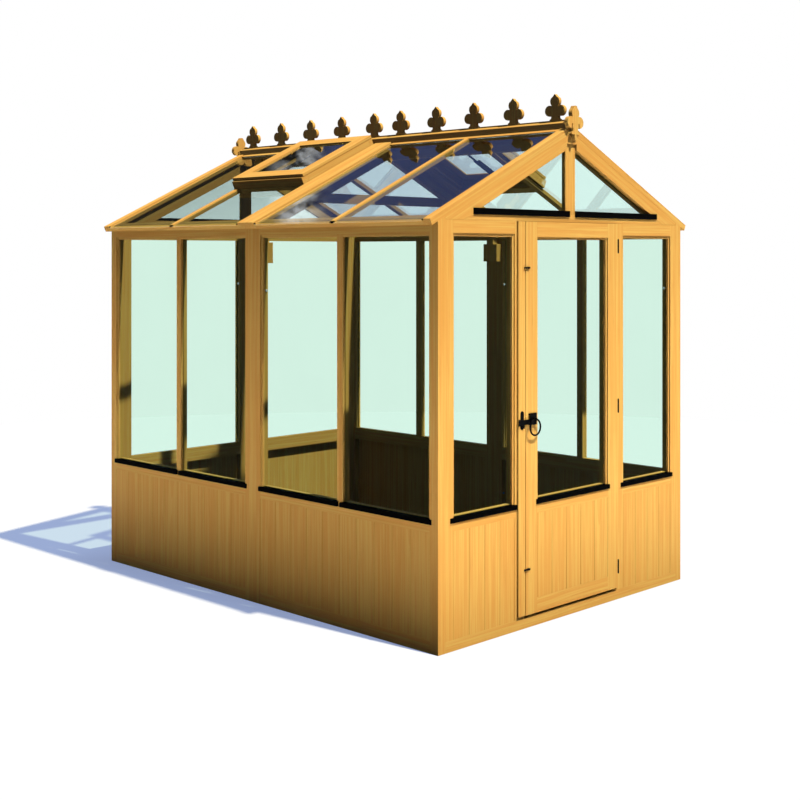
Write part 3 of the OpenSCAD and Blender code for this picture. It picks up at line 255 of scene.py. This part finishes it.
class SharedGroups:
    """Shader node groups that several finishes use, each built once.

    Attributes:
        DUST: span of the coarse noise that shows as dust.
        FINE_PART: how much of the relief is fine.
    """

    DUST: Span = (0.42, 0.72)
    FINE_PART = 0.6

    @staticmethod
    def start(name: str, inputs: list[tuple[str, str, object]],
              outputs: list[tuple[str, str]]) -> tuple[Graph, bpy.types.Node, bpy.types.Node]:
        """Make an empty group.

        Args:
            name: the group's name.
            inputs: name, socket type and default of each input.
            outputs: name and socket type of each output.

        Returns:
            The graph, its input node and its output node.
        """
        tree = bpy.data.node_groups.new(name, "ShaderNodeTree")
        for label, kind, value in inputs:
            socket = tree.interface.new_socket(label, in_out="INPUT", socket_type=kind)
            if value is not None:
                socket.default_value = value
        for label, kind in outputs:
            tree.interface.new_socket(label, in_out="OUTPUT", socket_type=kind)
        graph = Graph(tree)
        return graph, graph.add("NodeGroupInput"), graph.add("NodeGroupOutput")

    @classmethod
    def timber(cls) -> bpy.types.NodeTree:
        """Solid grain of a sawn member, read along and across it.

        Returns:
            The group, with Colour, Roughness and Height outputs.
        """
        name = "timber_grain"
        if name in bpy.data.node_groups:
            return bpy.data.node_groups[name]
        white = (*WHITE, 1.0)
        graph, given, result = cls.start(
            name,
            [("Place", "NodeSocketVector", None), ("Tone", "NodeSocketFloat", 0.5),
             ("Light", "NodeSocketColor", white), ("Dark", "NodeSocketColor", white),
             ("Streak", "NodeSocketColor", white), ("Roughness", "NodeSocketFloat", 0.5)],
            [("Colour", "NodeSocketColor"), ("Roughness", "NodeSocketFloat"),
             ("Height", "NodeSocketFloat")])
        look = GrainLook()
        place = given.outputs["Place"]
        split = graph.add("ShaderNodeSeparateXYZ", {0: place})
        wander = graph.noise(place, look.drift_scales)
        across = graph.length(split.outputs[1], split.outputs[2])
        radius = graph.math("ADD", across, graph.math("MULTIPLY", wander, look.drift))
        ring = graph.math("FRACT", graph.math("MULTIPLY", radius, look.rings))
        late = graph.fade(ring, look.late_wood)
        streak = graph.noise(place, look.streak_scales, 3.0, look.fine_roughness)
        fibre = graph.noise(place, look.fibre_scales, 2.0, look.fine_roughness)
        patch = graph.noise(place, look.patch_scales)
        band = graph.noise(place, look.band_scales, 1.0)
        # how dark the body is: the parts of late wood, streaks, bands, patches and tone added up
        depth = graph.math("MULTIPLY", late, look.late_part)
        for value, part in ((graph.fade(streak, look.streak_span), look.streak_part),
                            (graph.fade(band, look.band_span), look.band_part),
                            (graph.fade(patch, look.patch_span), look.patch_part),
                            (given.outputs["Tone"], look.tone_part)):
            depth = graph.math("MULTIPLY_ADD", value, part, depth)
        body = graph.mix(graph.fade(depth, (0.0, 1.0)), given.outputs["Light"],
                         given.outputs["Dark"])
        pores = graph.math("MULTIPLY", graph.fade(streak, look.pore_streaks),
                           graph.fade(fibre, look.pore_fibres))
        body = graph.mix(graph.math("MULTIPLY", pores, look.pore_depth), body,
                         given.outputs["Streak"])
        graph.link(body, result.inputs["Colour"])
        rough = graph.math("MULTIPLY_ADD", fibre, look.fibre_roughness, given.outputs["Roughness"])
        graph.link(rough, result.inputs["Roughness"])
        height = graph.math("MULTIPLY_ADD", late, look.late_height,
                            graph.math("SUBTRACT", fibre, pores))
        graph.link(height, result.inputs["Height"])
        return graph.tree

    @classmethod
    def scuff(cls) -> bpy.types.NodeTree:
        """Fine unevenness and faint dust for coated metal, rubber and glass.

        Returns:
            The group, with Mask and Height outputs.
        """
        name = "surface_scuff"
        if name in bpy.data.node_groups:
            return bpy.data.node_groups[name]
        graph, given, result = cls.start(
            name,
            [("Place", "NodeSocketVector", None), ("Coarse", "NodeSocketFloat", 20.0),
             ("Fine", "NodeSocketFloat", 900.0)],
            [("Mask", "NodeSocketFloat"), ("Height", "NodeSocketFloat")])
        place = given.outputs["Place"]
        coarse = graph.add("ShaderNodeTexNoise", {"Vector": place, "Detail": 3.0,
                                                  "Scale": given.outputs["Coarse"]}).outputs[0]
        fine = graph.add("ShaderNodeTexNoise", {"Vector": place, "Detail": 1.0,
                                                "Scale": given.outputs["Fine"]}).outputs[0]
        graph.link(graph.fade(coarse, cls.DUST), result.inputs["Mask"])
        broad = graph.math("MULTIPLY", coarse, 1.0 - cls.FINE_PART)
        graph.link(graph.math("MULTIPLY_ADD", fine, cls.FINE_PART, broad),
                   result.inputs["Height"])
        return graph.tree


@dataclass(frozen=True)
class Finish:
    """A named finish with its own material.

    Attributes:
        name: the material's name.
    """

    name: str

    def blank(self) -> tuple[Graph, bpy.types.Node, bpy.types.Node]:
        """Start the material.

        Returns:
            The graph, the shader and the material's output.
        """
        material = bpy.data.materials.new(self.name)
        material.use_nodes = True
        material.node_tree.nodes.clear()
        graph = Graph(material.node_tree)
        shader = graph.add("ShaderNodeBsdfPrincipled")
        output = graph.add("ShaderNodeOutputMaterial", {0: shader.outputs[0]})
        return graph, shader, output

    def fill(self, graph: Graph, shader: bpy.types.Node, output: bpy.types.Node) -> None:
        """Lay the finish's own nodes; each finish has its own way."""
        raise NotImplementedError

    def material(self) -> bpy.types.Material:
        """Return the finish's material, made on first use."""
        if self.name not in bpy.data.materials:
            self.fill(*self.blank())
        return bpy.data.materials[self.name]


@dataclass(frozen=True)
class TimberFinish(Finish):
    """Stained softwood, read along each member.

    Attributes:
        light: its palest colour.
        dark: its deepest colour.
        streak: the colour of its pores.
        roughness: its least roughness.
        gloss: strength of its sheen.
        relief: strength of its grain's relief.
        relief_depth: depth of that relief, in metres.
        painted_bounce_shade: the dark colour that light bounced off it takes, a painted shade that
            keeps the inside dark.
    """

    light: Triple
    dark: Triple
    streak: Triple
    roughness: float = 0.46
    gloss: float = 0.06
    relief: float = 0.05
    relief_depth: float = 0.4 * MM
    painted_bounce_shade: Triple = (0.1, 0.055, 0.015)

    def fill(self, graph: Graph, shader: bpy.types.Node, output: bpy.types.Node) -> None:
        """Lay the grain group and feed the shader.

        Args:
            graph: the material's graph.
            shader: the Principled shader.
            output: the material's output, left as it is.
        """
        place = graph.add("ShaderNodeAttribute", attribute_name="grain_place")
        tone = graph.add("ShaderNodeAttribute", attribute_name="tone")
        grain = graph.add("ShaderNodeGroup", node_tree=SharedGroups.timber())
        graph.link(place.outputs["Vector"], grain.inputs["Place"])
        graph.link(tone.outputs["Fac"], grain.inputs["Tone"])
        for label, value in (("Light", self.light), ("Dark", self.dark), ("Streak", self.streak)):
            grain.inputs[label].default_value = (*value, 1.0)
        grain.inputs["Roughness"].default_value = self.roughness
        bump = graph.add("ShaderNodeBump", {"Height": grain.outputs["Height"],
                                            "Strength": self.relief,
                                            "Distance": self.relief_depth})
        # light bounced off timber sees a dark stand-in colour: painted shade that keeps the inside
        # dark
        lighting = graph.add("ShaderNodeLightPath").outputs["Is Diffuse Ray"]
        graph.link(graph.mix(lighting, grain.outputs["Colour"], self.painted_bounce_shade),
                   shader.inputs["Base Color"])
        graph.link(grain.outputs["Roughness"], shader.inputs["Roughness"])
        graph.link(bump.outputs[0], shader.inputs["Normal"])
        shader.inputs["Specular IOR Level"].default_value = self.gloss


@dataclass(frozen=True)
class GlassFinish(Finish):
    """Clear glass with a faint tint, which lets lamps through.

    Attributes:
        tint: the colour that it gives at each of its two faces.
        through: the colour of the light that it lets onto other pieces.
        density: its index of refraction.
        film: how strongly a faint film of dust shows.
        film_tint: the film's colour as a share of the tint.
        film_scales: coarse and fine scale of the film, per metre.
    """

    tint: Triple
    through: Triple
    density: float
    film: float = 0.25
    film_tint: float = 0.97
    film_scales: Pair = (2.5, 60.0)

    def fill(self, graph: Graph, shader: bpy.types.Node, output: bpy.types.Node) -> None:
        """Set the glass, and pass the light that falls on other pieces straight through it.

        Args:
            graph: the material's graph.
            shader: the Principled shader.
            output: the material's output.
        """
        place = graph.add("ShaderNodeTexCoord").outputs["Object"]
        coarse, fine = self.film_scales
        scuff = graph.add("ShaderNodeGroup", {"Place": place, "Coarse": coarse, "Fine": fine},
                          node_tree=SharedGroups.scuff())
        colour = graph.mix(graph.math("MULTIPLY", scuff.outputs["Mask"], self.film), self.tint,
                           tuple(self.film_tint * c for c in self.tint))
        graph.link(colour, shader.inputs["Base Color"])
        shader.inputs["Roughness"].default_value = 0.0
        shader.inputs["IOR"].default_value = self.density
        shader.inputs["Transmission Weight"].default_value = 1.0
        path = graph.add("ShaderNodeLightPath")
        clear = graph.add("ShaderNodeBsdfTransparent", {0: self.through})
        unbent = graph.add("ShaderNodeMixShader", {0: path.outputs["Is Diffuse Ray"],
                                                   1: shader.outputs[0], 2: clear.outputs[0]})
        either = graph.add("ShaderNodeMixShader", {0: path.outputs["Is Shadow Ray"],
                                                   1: unbent.outputs[0], 2: clear.outputs[0]})
        graph.link(either.outputs[0], output.inputs[0])


@dataclass(frozen=True)
class CoatedFinish(Finish):
    """Powder-coated or plated metal, or black rubber.

    Attributes:
        colour: its colour.
        worn: its colour where it is dusty.
        roughness: its least roughness.
        metallic: 1 for bare metal.
        gloss: strength of its sheen.
        dusty_roughness: roughness that the dust adds.
        relief: strength of its fine relief.
        relief_depth: depth of that relief, in metres.
        scuff_scales: coarse and fine scale of dust and relief, per metre.
    """

    colour: Triple
    worn: Triple
    roughness: float
    metallic: float = 0.0
    gloss: float = 0.5
    dusty_roughness: float = 0.16
    relief: float = 0.12
    relief_depth: float = 0.2 * MM
    scuff_scales: Pair = (60.0, 1400.0)

    def fill(self, graph: Graph, shader: bpy.types.Node, output: bpy.types.Node) -> None:
        """Lay faint dust, uneven gloss and a fine orange-peel.

        Args:
            graph: the material's graph.
            shader: the Principled shader.
            output: the material's output, left as it is.
        """
        place = graph.add("ShaderNodeTexCoord").outputs["Object"]
        coarse, fine = self.scuff_scales
        scuff = graph.add("ShaderNodeGroup", {"Place": place, "Coarse": coarse, "Fine": fine},
                          node_tree=SharedGroups.scuff())
        mask = scuff.outputs["Mask"]
        graph.link(graph.mix(mask, self.colour, self.worn), shader.inputs["Base Color"])
        graph.link(graph.math("MULTIPLY_ADD", mask, self.dusty_roughness, self.roughness),
                   shader.inputs["Roughness"])
        bump = graph.add("ShaderNodeBump", {"Height": scuff.outputs["Height"],
                                            "Strength": self.relief,
                                            "Distance": self.relief_depth})
        graph.link(bump.outputs[0], shader.inputs["Normal"])
        shader.inputs["Metallic"].default_value = self.metallic
        shader.inputs["Specular IOR Level"].default_value = self.gloss


GOLDEN = TimberFinish("golden_stained_softwood", srgb(255, 206, 104), srgb(248, 180, 84),
                      srgb(214, 143, 64))
# a darker copy of the golden stain for the members inside: painted shade, not a stain of their own
SHADED = TimberFinish("shade_darkened_softwood", srgb(253, 201, 101), srgb(243, 174, 81),
                      srgb(204, 134, 60))
WALL_GLASS = GlassFinish("clear_wall_glass", (0.806, 0.939, 0.872), (0.87, 0.935, 0.92), 1.05)
ROOF_GLASS = GlassFinish("clear_roof_glass", (0.845, 0.96, 0.975), (0.73, 0.78, 0.78), 1.45)
IRON = CoatedFinish("black_powder_coat", (0.0012, 0.0012, 0.0014), (0.003, 0.0029, 0.0027), 0.34,
                    gloss=0.04)
SEAL = CoatedFinish("black_seal_strip", (0.0008, 0.0008, 0.0008), (0.0016, 0.0016, 0.0015), 0.55,
                    gloss=0.01)
ZINC = CoatedFinish("zinc_plated_steel", (0.55, 0.56, 0.58), (0.42, 0.42, 0.43), 0.32, 1.0)


class Mesh:
    """Helpers that turn a bmesh into a finished object.

    Attributes:
        SAME_POINT: how far apart merged vertices may lie, in metres.
        SAME_PLANE: how far joined faces may turn, in radians.
    """

    SAME_POINT = 0.01 * MM
    SAME_PLANE = math.radians(0.5)

    @staticmethod
    def from_node(node: str) -> bmesh.types.BMesh:
        """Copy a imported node's mesh, merged and with its flat faces joined.

        Args:
            node: the node's name.

        Returns:
            The copy as a bmesh.
        """
        bm = bmesh.new()
        bm.from_mesh(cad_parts[node].data)
        bmesh.ops.remove_doubles(bm, verts=bm.verts, dist=Mesh.SAME_POINT)
        bmesh.ops.dissolve_limit(bm, angle_limit=Mesh.SAME_PLANE, verts=bm.verts, edges=bm.edges)
        return bm

    @staticmethod
    def round_edges(bm: bmesh.types.BMesh, width: float, sharper_than: float,
                    segments: int = 2) -> None:
        """Bevel every edge that turns more than an angle.

        Args:
            bm: the mesh.
            width: the bevel's width in metres.
            sharper_than: the least turn in degrees.
            segments: faces across the bevel.
        """
        limit = math.radians(sharper_than)
        sharp = [e for e in bm.edges if e.is_manifold and e.calc_face_angle(0.0) > limit]
        bmesh.ops.bevel(bm, geom=sharp, offset=width, offset_type="OFFSET", segments=segments,
                        profile=0.5, affect="EDGES", clamp_overlap=True, material=-1)

    @staticmethod
    def parts(bm: bmesh.types.BMesh) -> list[list[bmesh.types.BMVert]]:
        """List the vertices of each loose part.

        Args:
            bm: the mesh.

        Returns:
            One list of vertices for each part.
        """
        seen: set[int] = set()
        found = []
        bm.verts.index_update()
        for start in bm.verts:
            if start.index in seen:
                continue
            seen.add(start.index)
            part, front = [start], [start]
            while front:
                vert = front.pop()
                for edge in vert.link_edges:
                    other = edge.other_vert(vert)
                    if other.index not in seen:
                        seen.add(other.index)
                        part.append(other)
                        front.append(other)
            found.append(part)
        return found

    @staticmethod
    def finish(bm: bmesh.types.BMesh, node: str, finish: Finish, body: str,
               slot: Slot) -> bpy.types.Object:
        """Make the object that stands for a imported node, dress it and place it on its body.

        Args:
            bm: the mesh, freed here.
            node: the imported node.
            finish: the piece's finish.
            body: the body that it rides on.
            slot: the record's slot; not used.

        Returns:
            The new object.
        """
        name = node + "_dressed"
        mesh = bpy.data.meshes.new(name)
        bm.to_mesh(mesh)
        bm.free()
        mesh.materials.append(finish.material())
        piece = bpy.data.objects.new(name, mesh)
        bpy.context.scene.collection.objects.link(piece)
        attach(piece, body)
        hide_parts(node)
        LOG.info("%s: %d faces on %s", name, len(mesh.polygons), body)
        return piece


@dataclass
class TimberNode:
    """A packed timber node, dressed member by member.

    Attributes:
        node: the node's name.
        body: the body that it rides on.
        finish: its finish.
        slot: the record's slot.
        grain: how the grain runs.
        arris: width of its rounded edges, in metres.
        sharper_than: the least turn of an edge that is rounded, in degrees.
        spread: how far the members' tones differ.
        edges_tried: how many of the longest edges are tried as a member's length.
        longer_by: how much longer a member is along its length than across, in metres.
        side_on: how square to the length a member's widest face is.
        along_shift: span of a member's place along the grain, in metres.
        heart_off: span of its distance from the rings' middle.
        heart_aside: span of its distance aside of that middle.
    """

    node: str
    body: str = "house"
    finish: TimberFinish = GOLDEN
    slot: Slot = Slot.TIMBER
    grain: Grain = Grain.ALONG
    arris: float = 1.4 * MM
    sharper_than: float = 25.0
    spread: float = 1.0
    edges_tried: int = 14
    longer_by: float = 0.1 * MM
    side_on: float = 0.2
    along_shift: Span = (-20, 20)
    heart_off: Span = (0.02, 0.09)
    heart_aside: Span = (0.0, 0.12)

    def lie(self, part: list[bmesh.types.BMVert]) -> tuple[Vector, Vector, Vector]:
        """Find how a member lies.

        Args:
            part: the member's vertices.

        Returns:
            Unit vectors along it and across it twice.
        """
        # Dicts keep the mesh's order, so that a tie falls the same way each run.
        along = Vector((0.0, 0.0, 1.0))
        if self.grain is Grain.ALONG:
            edges = sorted(dict.fromkeys(e for v in part for e in v.link_edges),
                           key=lambda e: -e.calc_length())
            longest = 0.0
            for edge in edges[:self.edges_tried]:
                line = (edge.verts[1].co - edge.verts[0].co).normalized()
                reach = [v.co.dot(line) for v in part]
                if max(reach) - min(reach) > longest + self.longer_by:
                    longest, along = max(reach) - min(reach), line
        faces = dict.fromkeys(f for v in part for f in v.link_faces)
        widest = max(faces, key=lambda f: f.calc_area() * (abs(f.normal.dot(along)) < self.side_on))
        face_on = (widest.normal - along * widest.normal.dot(along)).normalized()
        return along, face_on, along.cross(face_on)

    def mark(self, bm: bmesh.types.BMesh) -> None:
        """Write each member's place in its own grain onto the mesh.

        Args:
            bm: the node's mesh.
        """
        place = bm.verts.layers.float_vector.new("grain_place")
        tone = bm.verts.layers.float.new("tone")
        draw = random.Random(self.node)
        for part in Mesh.parts(bm):
            along, face_on, across = self.lie(part)
            shift = Vector((draw.uniform(*self.along_shift), draw.uniform(*self.heart_off),
                            draw.choice((-1, 1)) * draw.uniform(*self.heart_aside)))
            middle = sum((v.co for v in part), Vector()) / len(part)
            shade = 0.5 + self.spread * draw.uniform(-0.5, 0.5)
            for vert in part:
                off = vert.co - middle
                vert[place] = Vector((off.dot(along), off.dot(face_on), off.dot(across))) + shift
                vert[tone] = shade

    def build(self) -> bpy.types.Object:
        """Return the dressed node."""
        bm = Mesh.from_node(self.node)
        Mesh.round_edges(bm, self.arris, self.sharper_than)
        self.mark(bm)
        return Mesh.finish(bm, self.node, self.finish, self.body, self.slot)


@dataclass
class KeptNode:
    """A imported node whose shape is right, with a finish laid on it.

    Attributes:
        node: the node's name.
        finish: its finish.
    """

    node: str
    finish: Finish

    def build(self) -> bpy.types.Object:
        """Return the node with its finish."""
        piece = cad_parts[self.node]
        piece.data.materials.clear()
        piece.data.materials.append(self.finish.material())
        return piece


@dataclass
class TimberWork:
    """All the sawn members, node by node.

    Attributes:
        walls: the wall frames, the strip beside the door and the beads.
        shaded: the members that show from inside only, in a darker copy of the stain that paints
            their shade.
        boards: the boards of the lower walls.
        roof: the roof's frames, cappings and curbs.
        crests: the cresting and the gable finials, with upright grain.
        lids: the vents' bodies, each with its lid.
        door: the door's frame and boards.
        board_arris: width of the boards' rounded edges, in metres.
        board_spread: how far the boards' tones differ.
        crest_arris: width of the cresting's rounded edges, in metres.
        crest_sharper_than: the least turn of its rounded edges, in degrees.
    """

    walls: tuple[str, ...] = ("left_front_frame", "left_rear_frame", "right_front_frame",
                              "right_rear_frame", "front_wall_frame", "front_gable_frame",
                              "slam_strip", "wall_beads")
    shaded: tuple[str, ...] = ("rear_wall_frame", "rear_gable_frame", "ridge_beam",
                               "truss_rafters", "collar_tie", "heel_blocks")
    boards: tuple[str, ...] = ("left_boards", "right_boards", "front_boards", "rear_boards")
    roof: tuple[str, ...] = ("roof_left_front_frame", "roof_left_rear_frame",
                             "roof_right_front_frame", "roof_right_rear_frame",
                             "roof_cappings", "ridge_cap", "vent_curbs")
    crests: tuple[str, ...] = ("front_crest", "rear_crest", "front_finial", "rear_finial")
    lids: tuple[str, ...] = ("left_vent", "right_vent")
    door: tuple[str, ...] = ("door_frame", "door_boards")
    board_arris: float = 0.4 * MM
    board_spread: float = 0.5
    crest_arris: float = 0.8 * MM
    crest_sharper_than: float = 40.0

    def build(self) -> list[bpy.types.Object]:
        """Return every dressed timber node."""
        made = [TimberNode(n).build() for n in (*self.walls, *self.roof)]
        # the inside members take the darker copy of the stain, as painted shade
        made += [TimberNode(n, finish=SHADED, slot=Slot.SHADED).build() for n in self.shaded]
        made += [TimberNode(n, slot=Slot.SHADED if n == "rear_boards" else Slot.TIMBER,
                            arris=self.board_arris, spread=self.board_spread).build()
                 for n in self.boards]
        made += [TimberNode(n, grain=Grain.UP, arris=self.crest_arris,
                            sharper_than=self.crest_sharper_than).build() for n in self.crests]
        made += [TimberNode(f"{body}_lid", body).build() for body in self.lids]
        made += [TimberNode(n, "door").build() for n in self.door]
        return made


@dataclass
class Glazing:
    """Every pane, kept as packed.

    Attributes:
        walls: the panes of walls, gables and door.
        roof: the panes of the roof and its vents.
    """

    walls: tuple[str, ...] = ("left_glass", "right_glass", "front_glass", "rear_glass",
                              "door_glass")
    roof: tuple[str, ...] = ("roof_left_glass", "roof_right_glass", "left_vent_glass",
                             "right_vent_glass")

    def build(self) -> list[bpy.types.Object]:
        """Return the panes with their glass."""
        return ([KeptNode(n, WALL_GLASS).build() for n in self.walls]
                + [KeptNode(n, ROOF_GLASS).build() for n in self.roof])


@dataclass
class Ironmongery:
    """Sills, clips, hinges, stays and the latch, kept as packed.

    Attributes:
        seals: the black strips and clips of the panes.
        iron: the black hinges, stays, latch and buttons.
        zinc: the plated bolts and screws.
    """

    seals: tuple[str, ...] = ("wall_sills", "door_sill", "glass_clips")
    iron: tuple[str, ...] = ("stay_pegs", "left_vent_stay", "right_vent_stay",
                             "vent_hinges_fixed", "left_vent_hinges", "right_vent_hinges",
                             "door_hinge_leaves", "frame_hinge_leaves", "latch_plate",
                             "latch_bar", "latch_ring", "latch_keep", "upper_button",
                             "lower_button")
    zinc: tuple[str, ...] = ("panel_bolts",)

    def build(self) -> list[bpy.types.Object]:
        """Return the fittings with their finishes."""
        return ([KeptNode(n, SEAL).build() for n in self.seals]
                + [KeptNode(n, IRON).build() for n in self.iron]
                + [KeptNode(n, ZINC).build() for n in self.zinc])


@dataclass
class Studio:
    """Camera, lamp, surroundings and floor; places in metres, turns in degrees.

    Attributes:
        eye: where the camera stands.
        heading: which way it looks.
        lens: its lens in millimetres.
        shift: how far its picture is shifted up or down.
        sun_way: which way the lamp shines.
        sun_power: its strength.
        sun_spread: its width, which softens the shadows.
        sun_colour: its colour.
        sun_place: where it hangs, which its parallel light doesn't depend on.
        sky: the surroundings as they light the object.
        high_sky: the deep blue that the roof's panes mirror.
        clear_sky: the dark sky that they mirror on the other side of the cloud.
        overhead: span of height over which the mirrored sky takes over from white.
        cloud: the cloud's colour.
        cloud_slant: how the band of cloud lies.
        cloud_rise: where it starts.
        cloud_fall: where it ends.
        wisp_scales: scales of the cloud's wisps.
        wisp_roughness: weight of their finer octaves.
        wisp_span: span of their noise that shows.
        floor_radius: the floor's radius.
        floor_drop: how far the floor lies under the object.
        floor_lit: the floor's own colour.
        floor_shadow: the light that its shadows keep.
        near_lit: the floor's own colour beside the walls, paler so that its lit parts stay white
            over the painted shade there.
        near_painted_shade: the glow that its shadows keep there, lower than further out: painted
            shade beside the walls.
        near_reach: how far from the walls the floor changes.
        house_half: half the plan, which the floor's rings follow.
        bounce: the light that a ring of the floor gives to the walls, a glow that paints bounce
            light on them though no lamp is there.
        bounce_near: how far from the walls that ring starts.
        bounce_far: where it ends.
        shut_out: how much of that light a pane keeps out.
    """

    eye: Triple = (-4.949, -4.983, 1.681)
    heading: float = -45.34
    lens: float = 59.55
    shift: float = -0.184
    sun_way: Triple = (-0.095, 1.0, -1.7)
    sun_power: float = 4.2
    sun_spread: float = 1.2
    sun_colour: Triple = (1.0, 0.935, 0.9)
    sun_place: Triple = (0.0, -6.0, 8.0)
    sky: Triple = (0.05, 0.065, 0.115)
    high_sky: Triple = (0.062, 0.09, 0.24)
    clear_sky: Triple = (0.015, 0.015, 0.015)
    overhead: Span = (0.22, 0.42)
    cloud: Triple = (0.95, 0.95, 0.97)
    cloud_slant: float = 1.3
    cloud_rise: Span = (1.035, 1.068)
    cloud_fall: Span = (1.07, 1.105)
    wisp_scales: Triple = (60.0, 14.0, 60.0)
    wisp_roughness: float = 0.6
    wisp_span: Span = (0.38, 0.62)
    floor_radius: float = 7.0
    floor_drop: float = 0.5 * MM
    floor_lit: Triple = (0.608, 0.576, 0.367)
    floor_shadow: Triple = (0.3, 0.38, 0.62)
    near_lit: Triple = (0.721, 0.743, 0.666)
    near_painted_shade: Triple = (0.17, 0.2, 0.31)
    near_reach: float = 0.55
    house_half: Pair = (0.915, 1.219)
    bounce: Triple = (7.4, 7.0, 7.4)
    bounce_near: Span = (0.85, 1.1)
    bounce_far: Span = (1.2, 1.45)
    shut_out: float = 0.45

    def camera(self) -> None:
        """Place the camera as the photograph was taken."""
        data = bpy.data.cameras.new("view")
        data.sensor_width = 36.0
        data.lens = self.lens
        data.shift_y = self.shift
        data.clip_end = 200.0
        eye = bpy.data.objects.new("view", data)
        eye.location = self.eye
        eye.rotation_euler = (math.radians(90), 0.0, math.radians(self.heading))
        bpy.context.scene.collection.objects.link(eye)
        bpy.context.scene.camera = eye

    def lamp(self) -> None:
        """Hang the one broad lamp."""
        data = bpy.data.lights.new("key", "SUN")
        data.energy = self.sun_power
        data.angle = math.radians(self.sun_spread)
        data.color = self.sun_colour
        lamp = bpy.data.objects.new("key", data)
        lamp.rotation_euler = Vector(self.sun_way).to_track_quat("-Z", "Y").to_euler()
        lamp.location = self.sun_place
        bpy.context.scene.collection.objects.link(lamp)

    @staticmethod
    def seen(graph: Graph) -> tuple[Socket, Socket]:
        """Tell what the eye sees, straight or by way of glass, from what lights the object.

        Args:
            graph: the graph that asks.

        Returns:
            Whether the eye sees it at all, and whether it does so by a reflection.
        """
        path = graph.add("ShaderNodeLightPath")
        early = graph.math("LESS_THAN", path.outputs["Diffuse Depth"], 0.5)
        mirrored = graph.math("MULTIPLY", path.outputs["Is Glossy Ray"], early)
        through = graph.math("MULTIPLY", path.outputs["Is Transmission Ray"], early)
        straight = graph.math("MAXIMUM", path.outputs["Is Camera Ray"], through)
        return graph.math("MAXIMUM", straight, mirrored), mirrored

    def surroundings(self) -> None:
        """Make the world: white to the eye, faint on the object, a blue sky in the roof's gloss."""
        world = bpy.data.worlds.new("surroundings")
        bpy.context.scene.world = world
        world.use_nodes = True
        world.node_tree.nodes.clear()
        graph = Graph(world.node_tree)
        way = graph.add("ShaderNodeTexCoord").outputs["Generated"]
        split = graph.add("ShaderNodeSeparateXYZ", {0: way})
        height = split.outputs[2]
        seen, mirrored = self.seen(graph)
        # a band of cloud between clear and deep blue sky, as the roof's panes mirror it
        place = graph.math("MULTIPLY_ADD", height, self.cloud_slant, split.outputs[0])
        sky = graph.mix(graph.fade(place, self.cloud_fall), self.clear_sky, self.high_sky)
        band = graph.math("MULTIPLY", graph.fade(place, self.cloud_rise),
                          graph.fade(place, self.cloud_fall, falling=True))
        wisps = graph.noise(way, self.wisp_scales, 3.0, self.wisp_roughness)
        band = graph.math("MULTIPLY", band, graph.fade(wisps, self.wisp_span))
        sky = graph.mix(band, sky, self.cloud)
        overhead = graph.math("MULTIPLY", mirrored, graph.fade(height, self.overhead))
        shown = graph.mix(overhead, WHITE, sky)
        back = graph.add("ShaderNodeBackground", {0: graph.mix(seen, self.sky, shown)})
        graph.add("ShaderNodeOutputWorld", {0: back.outputs[0]})

    def outside(self, graph: Graph) -> Socket:
        """Work out how far a point of the floor lies outside the walls.

        Args:
            graph: the floor's graph.

        Returns:
            The distance, which is 0 under the house.
        """
        place = graph.add("ShaderNodeTexCoord").outputs["Object"]
        split = graph.add("ShaderNodeSeparateXYZ", {0: place})
        out = [graph.math("MAXIMUM", graph.math("SUBTRACT", graph.math("ABSOLUTE", axis), half), 0.0)
               for axis, half in zip(split.outputs, self.house_half)]
        return graph.length(*out)

    def floor(self) -> None:
        """Lay the plain pale floor, which keeps the object's shadow, with painted shade beside the
        walls and a glowing ring that paints bounce light onto them.
        """
        bm = bmesh.new()
        bmesh.ops.create_circle(bm, cap_ends=True, segments=96, radius=self.floor_radius)
        mesh = bpy.data.meshes.new("floor")
        bm.to_mesh(mesh)
        bm.free()
        piece = bpy.data.objects.new("floor", mesh)
        piece.location = (0.0, 0.0, -self.floor_drop)
        bpy.context.scene.collection.objects.link(piece)
        material = bpy.data.materials.new("pale_floor")
        material.use_nodes = True
        material.cycles.emission_sampling = "NONE"
        material.node_tree.nodes.clear()
        graph = Graph(material.node_tree)
        seen = self.seen(graph)[0]
        path = graph.add("ShaderNodeLightPath")
        open_air = graph.math("SUBTRACT", path.outputs["Is Diffuse Ray"],
                              graph.math("MULTIPLY", path.outputs["Transparent Depth"],
                                         self.shut_out))
        # the floor's glow darkens beside the walls as painted shade, and a ring of it glows onto the
        # walls as painted bounce light
        gap = self.outside(graph)
        away = graph.fade(gap, (-self.near_reach, self.near_reach))
        lit = graph.mix(away, self.near_lit, self.floor_lit)
        shadow = graph.mix(away, self.near_painted_shade, self.floor_shadow)
        ring = graph.math("MULTIPLY", graph.fade(gap, self.bounce_near),
                          graph.fade(gap, self.bounce_far, falling=True))
        lighting = graph.mix(graph.math("MULTIPLY", ring, open_air), BLACK, self.bounce)
        matte = graph.add("ShaderNodeBsdfDiffuse", {0: graph.mix(seen, BLACK, lit)})
        own = graph.add("ShaderNodeEmission", {0: graph.mix(seen, lighting, shadow)})
        both = graph.add("ShaderNodeAddShader", {0: matte.outputs[0], 1: own.outputs[0]})
        graph.add("ShaderNodeOutputMaterial", {0: both.outputs[0]})
        mesh.materials.append(material)

    def build(self) -> None:
        """Set the whole studio."""
        bpy.context.scene.view_settings.view_transform = "Standard"
        self.camera()
        self.lamp()
        self.surroundings()
        self.floor()


def main() -> None:
    """Build the greenhouse in order and log how many pieces each group makes."""
    logging.basicConfig(level=logging.INFO, format="%(name)s: %(message)s")
    Studio().build()
    for group in (TimberWork(), Glazing(), Ironmongery()):
        made = group.build()
        LOG.info("%s: %d pieces", type(group).__name__, len(made))
    bpy.context.view_layer.update()


if __name__ == "__main__":
    main()
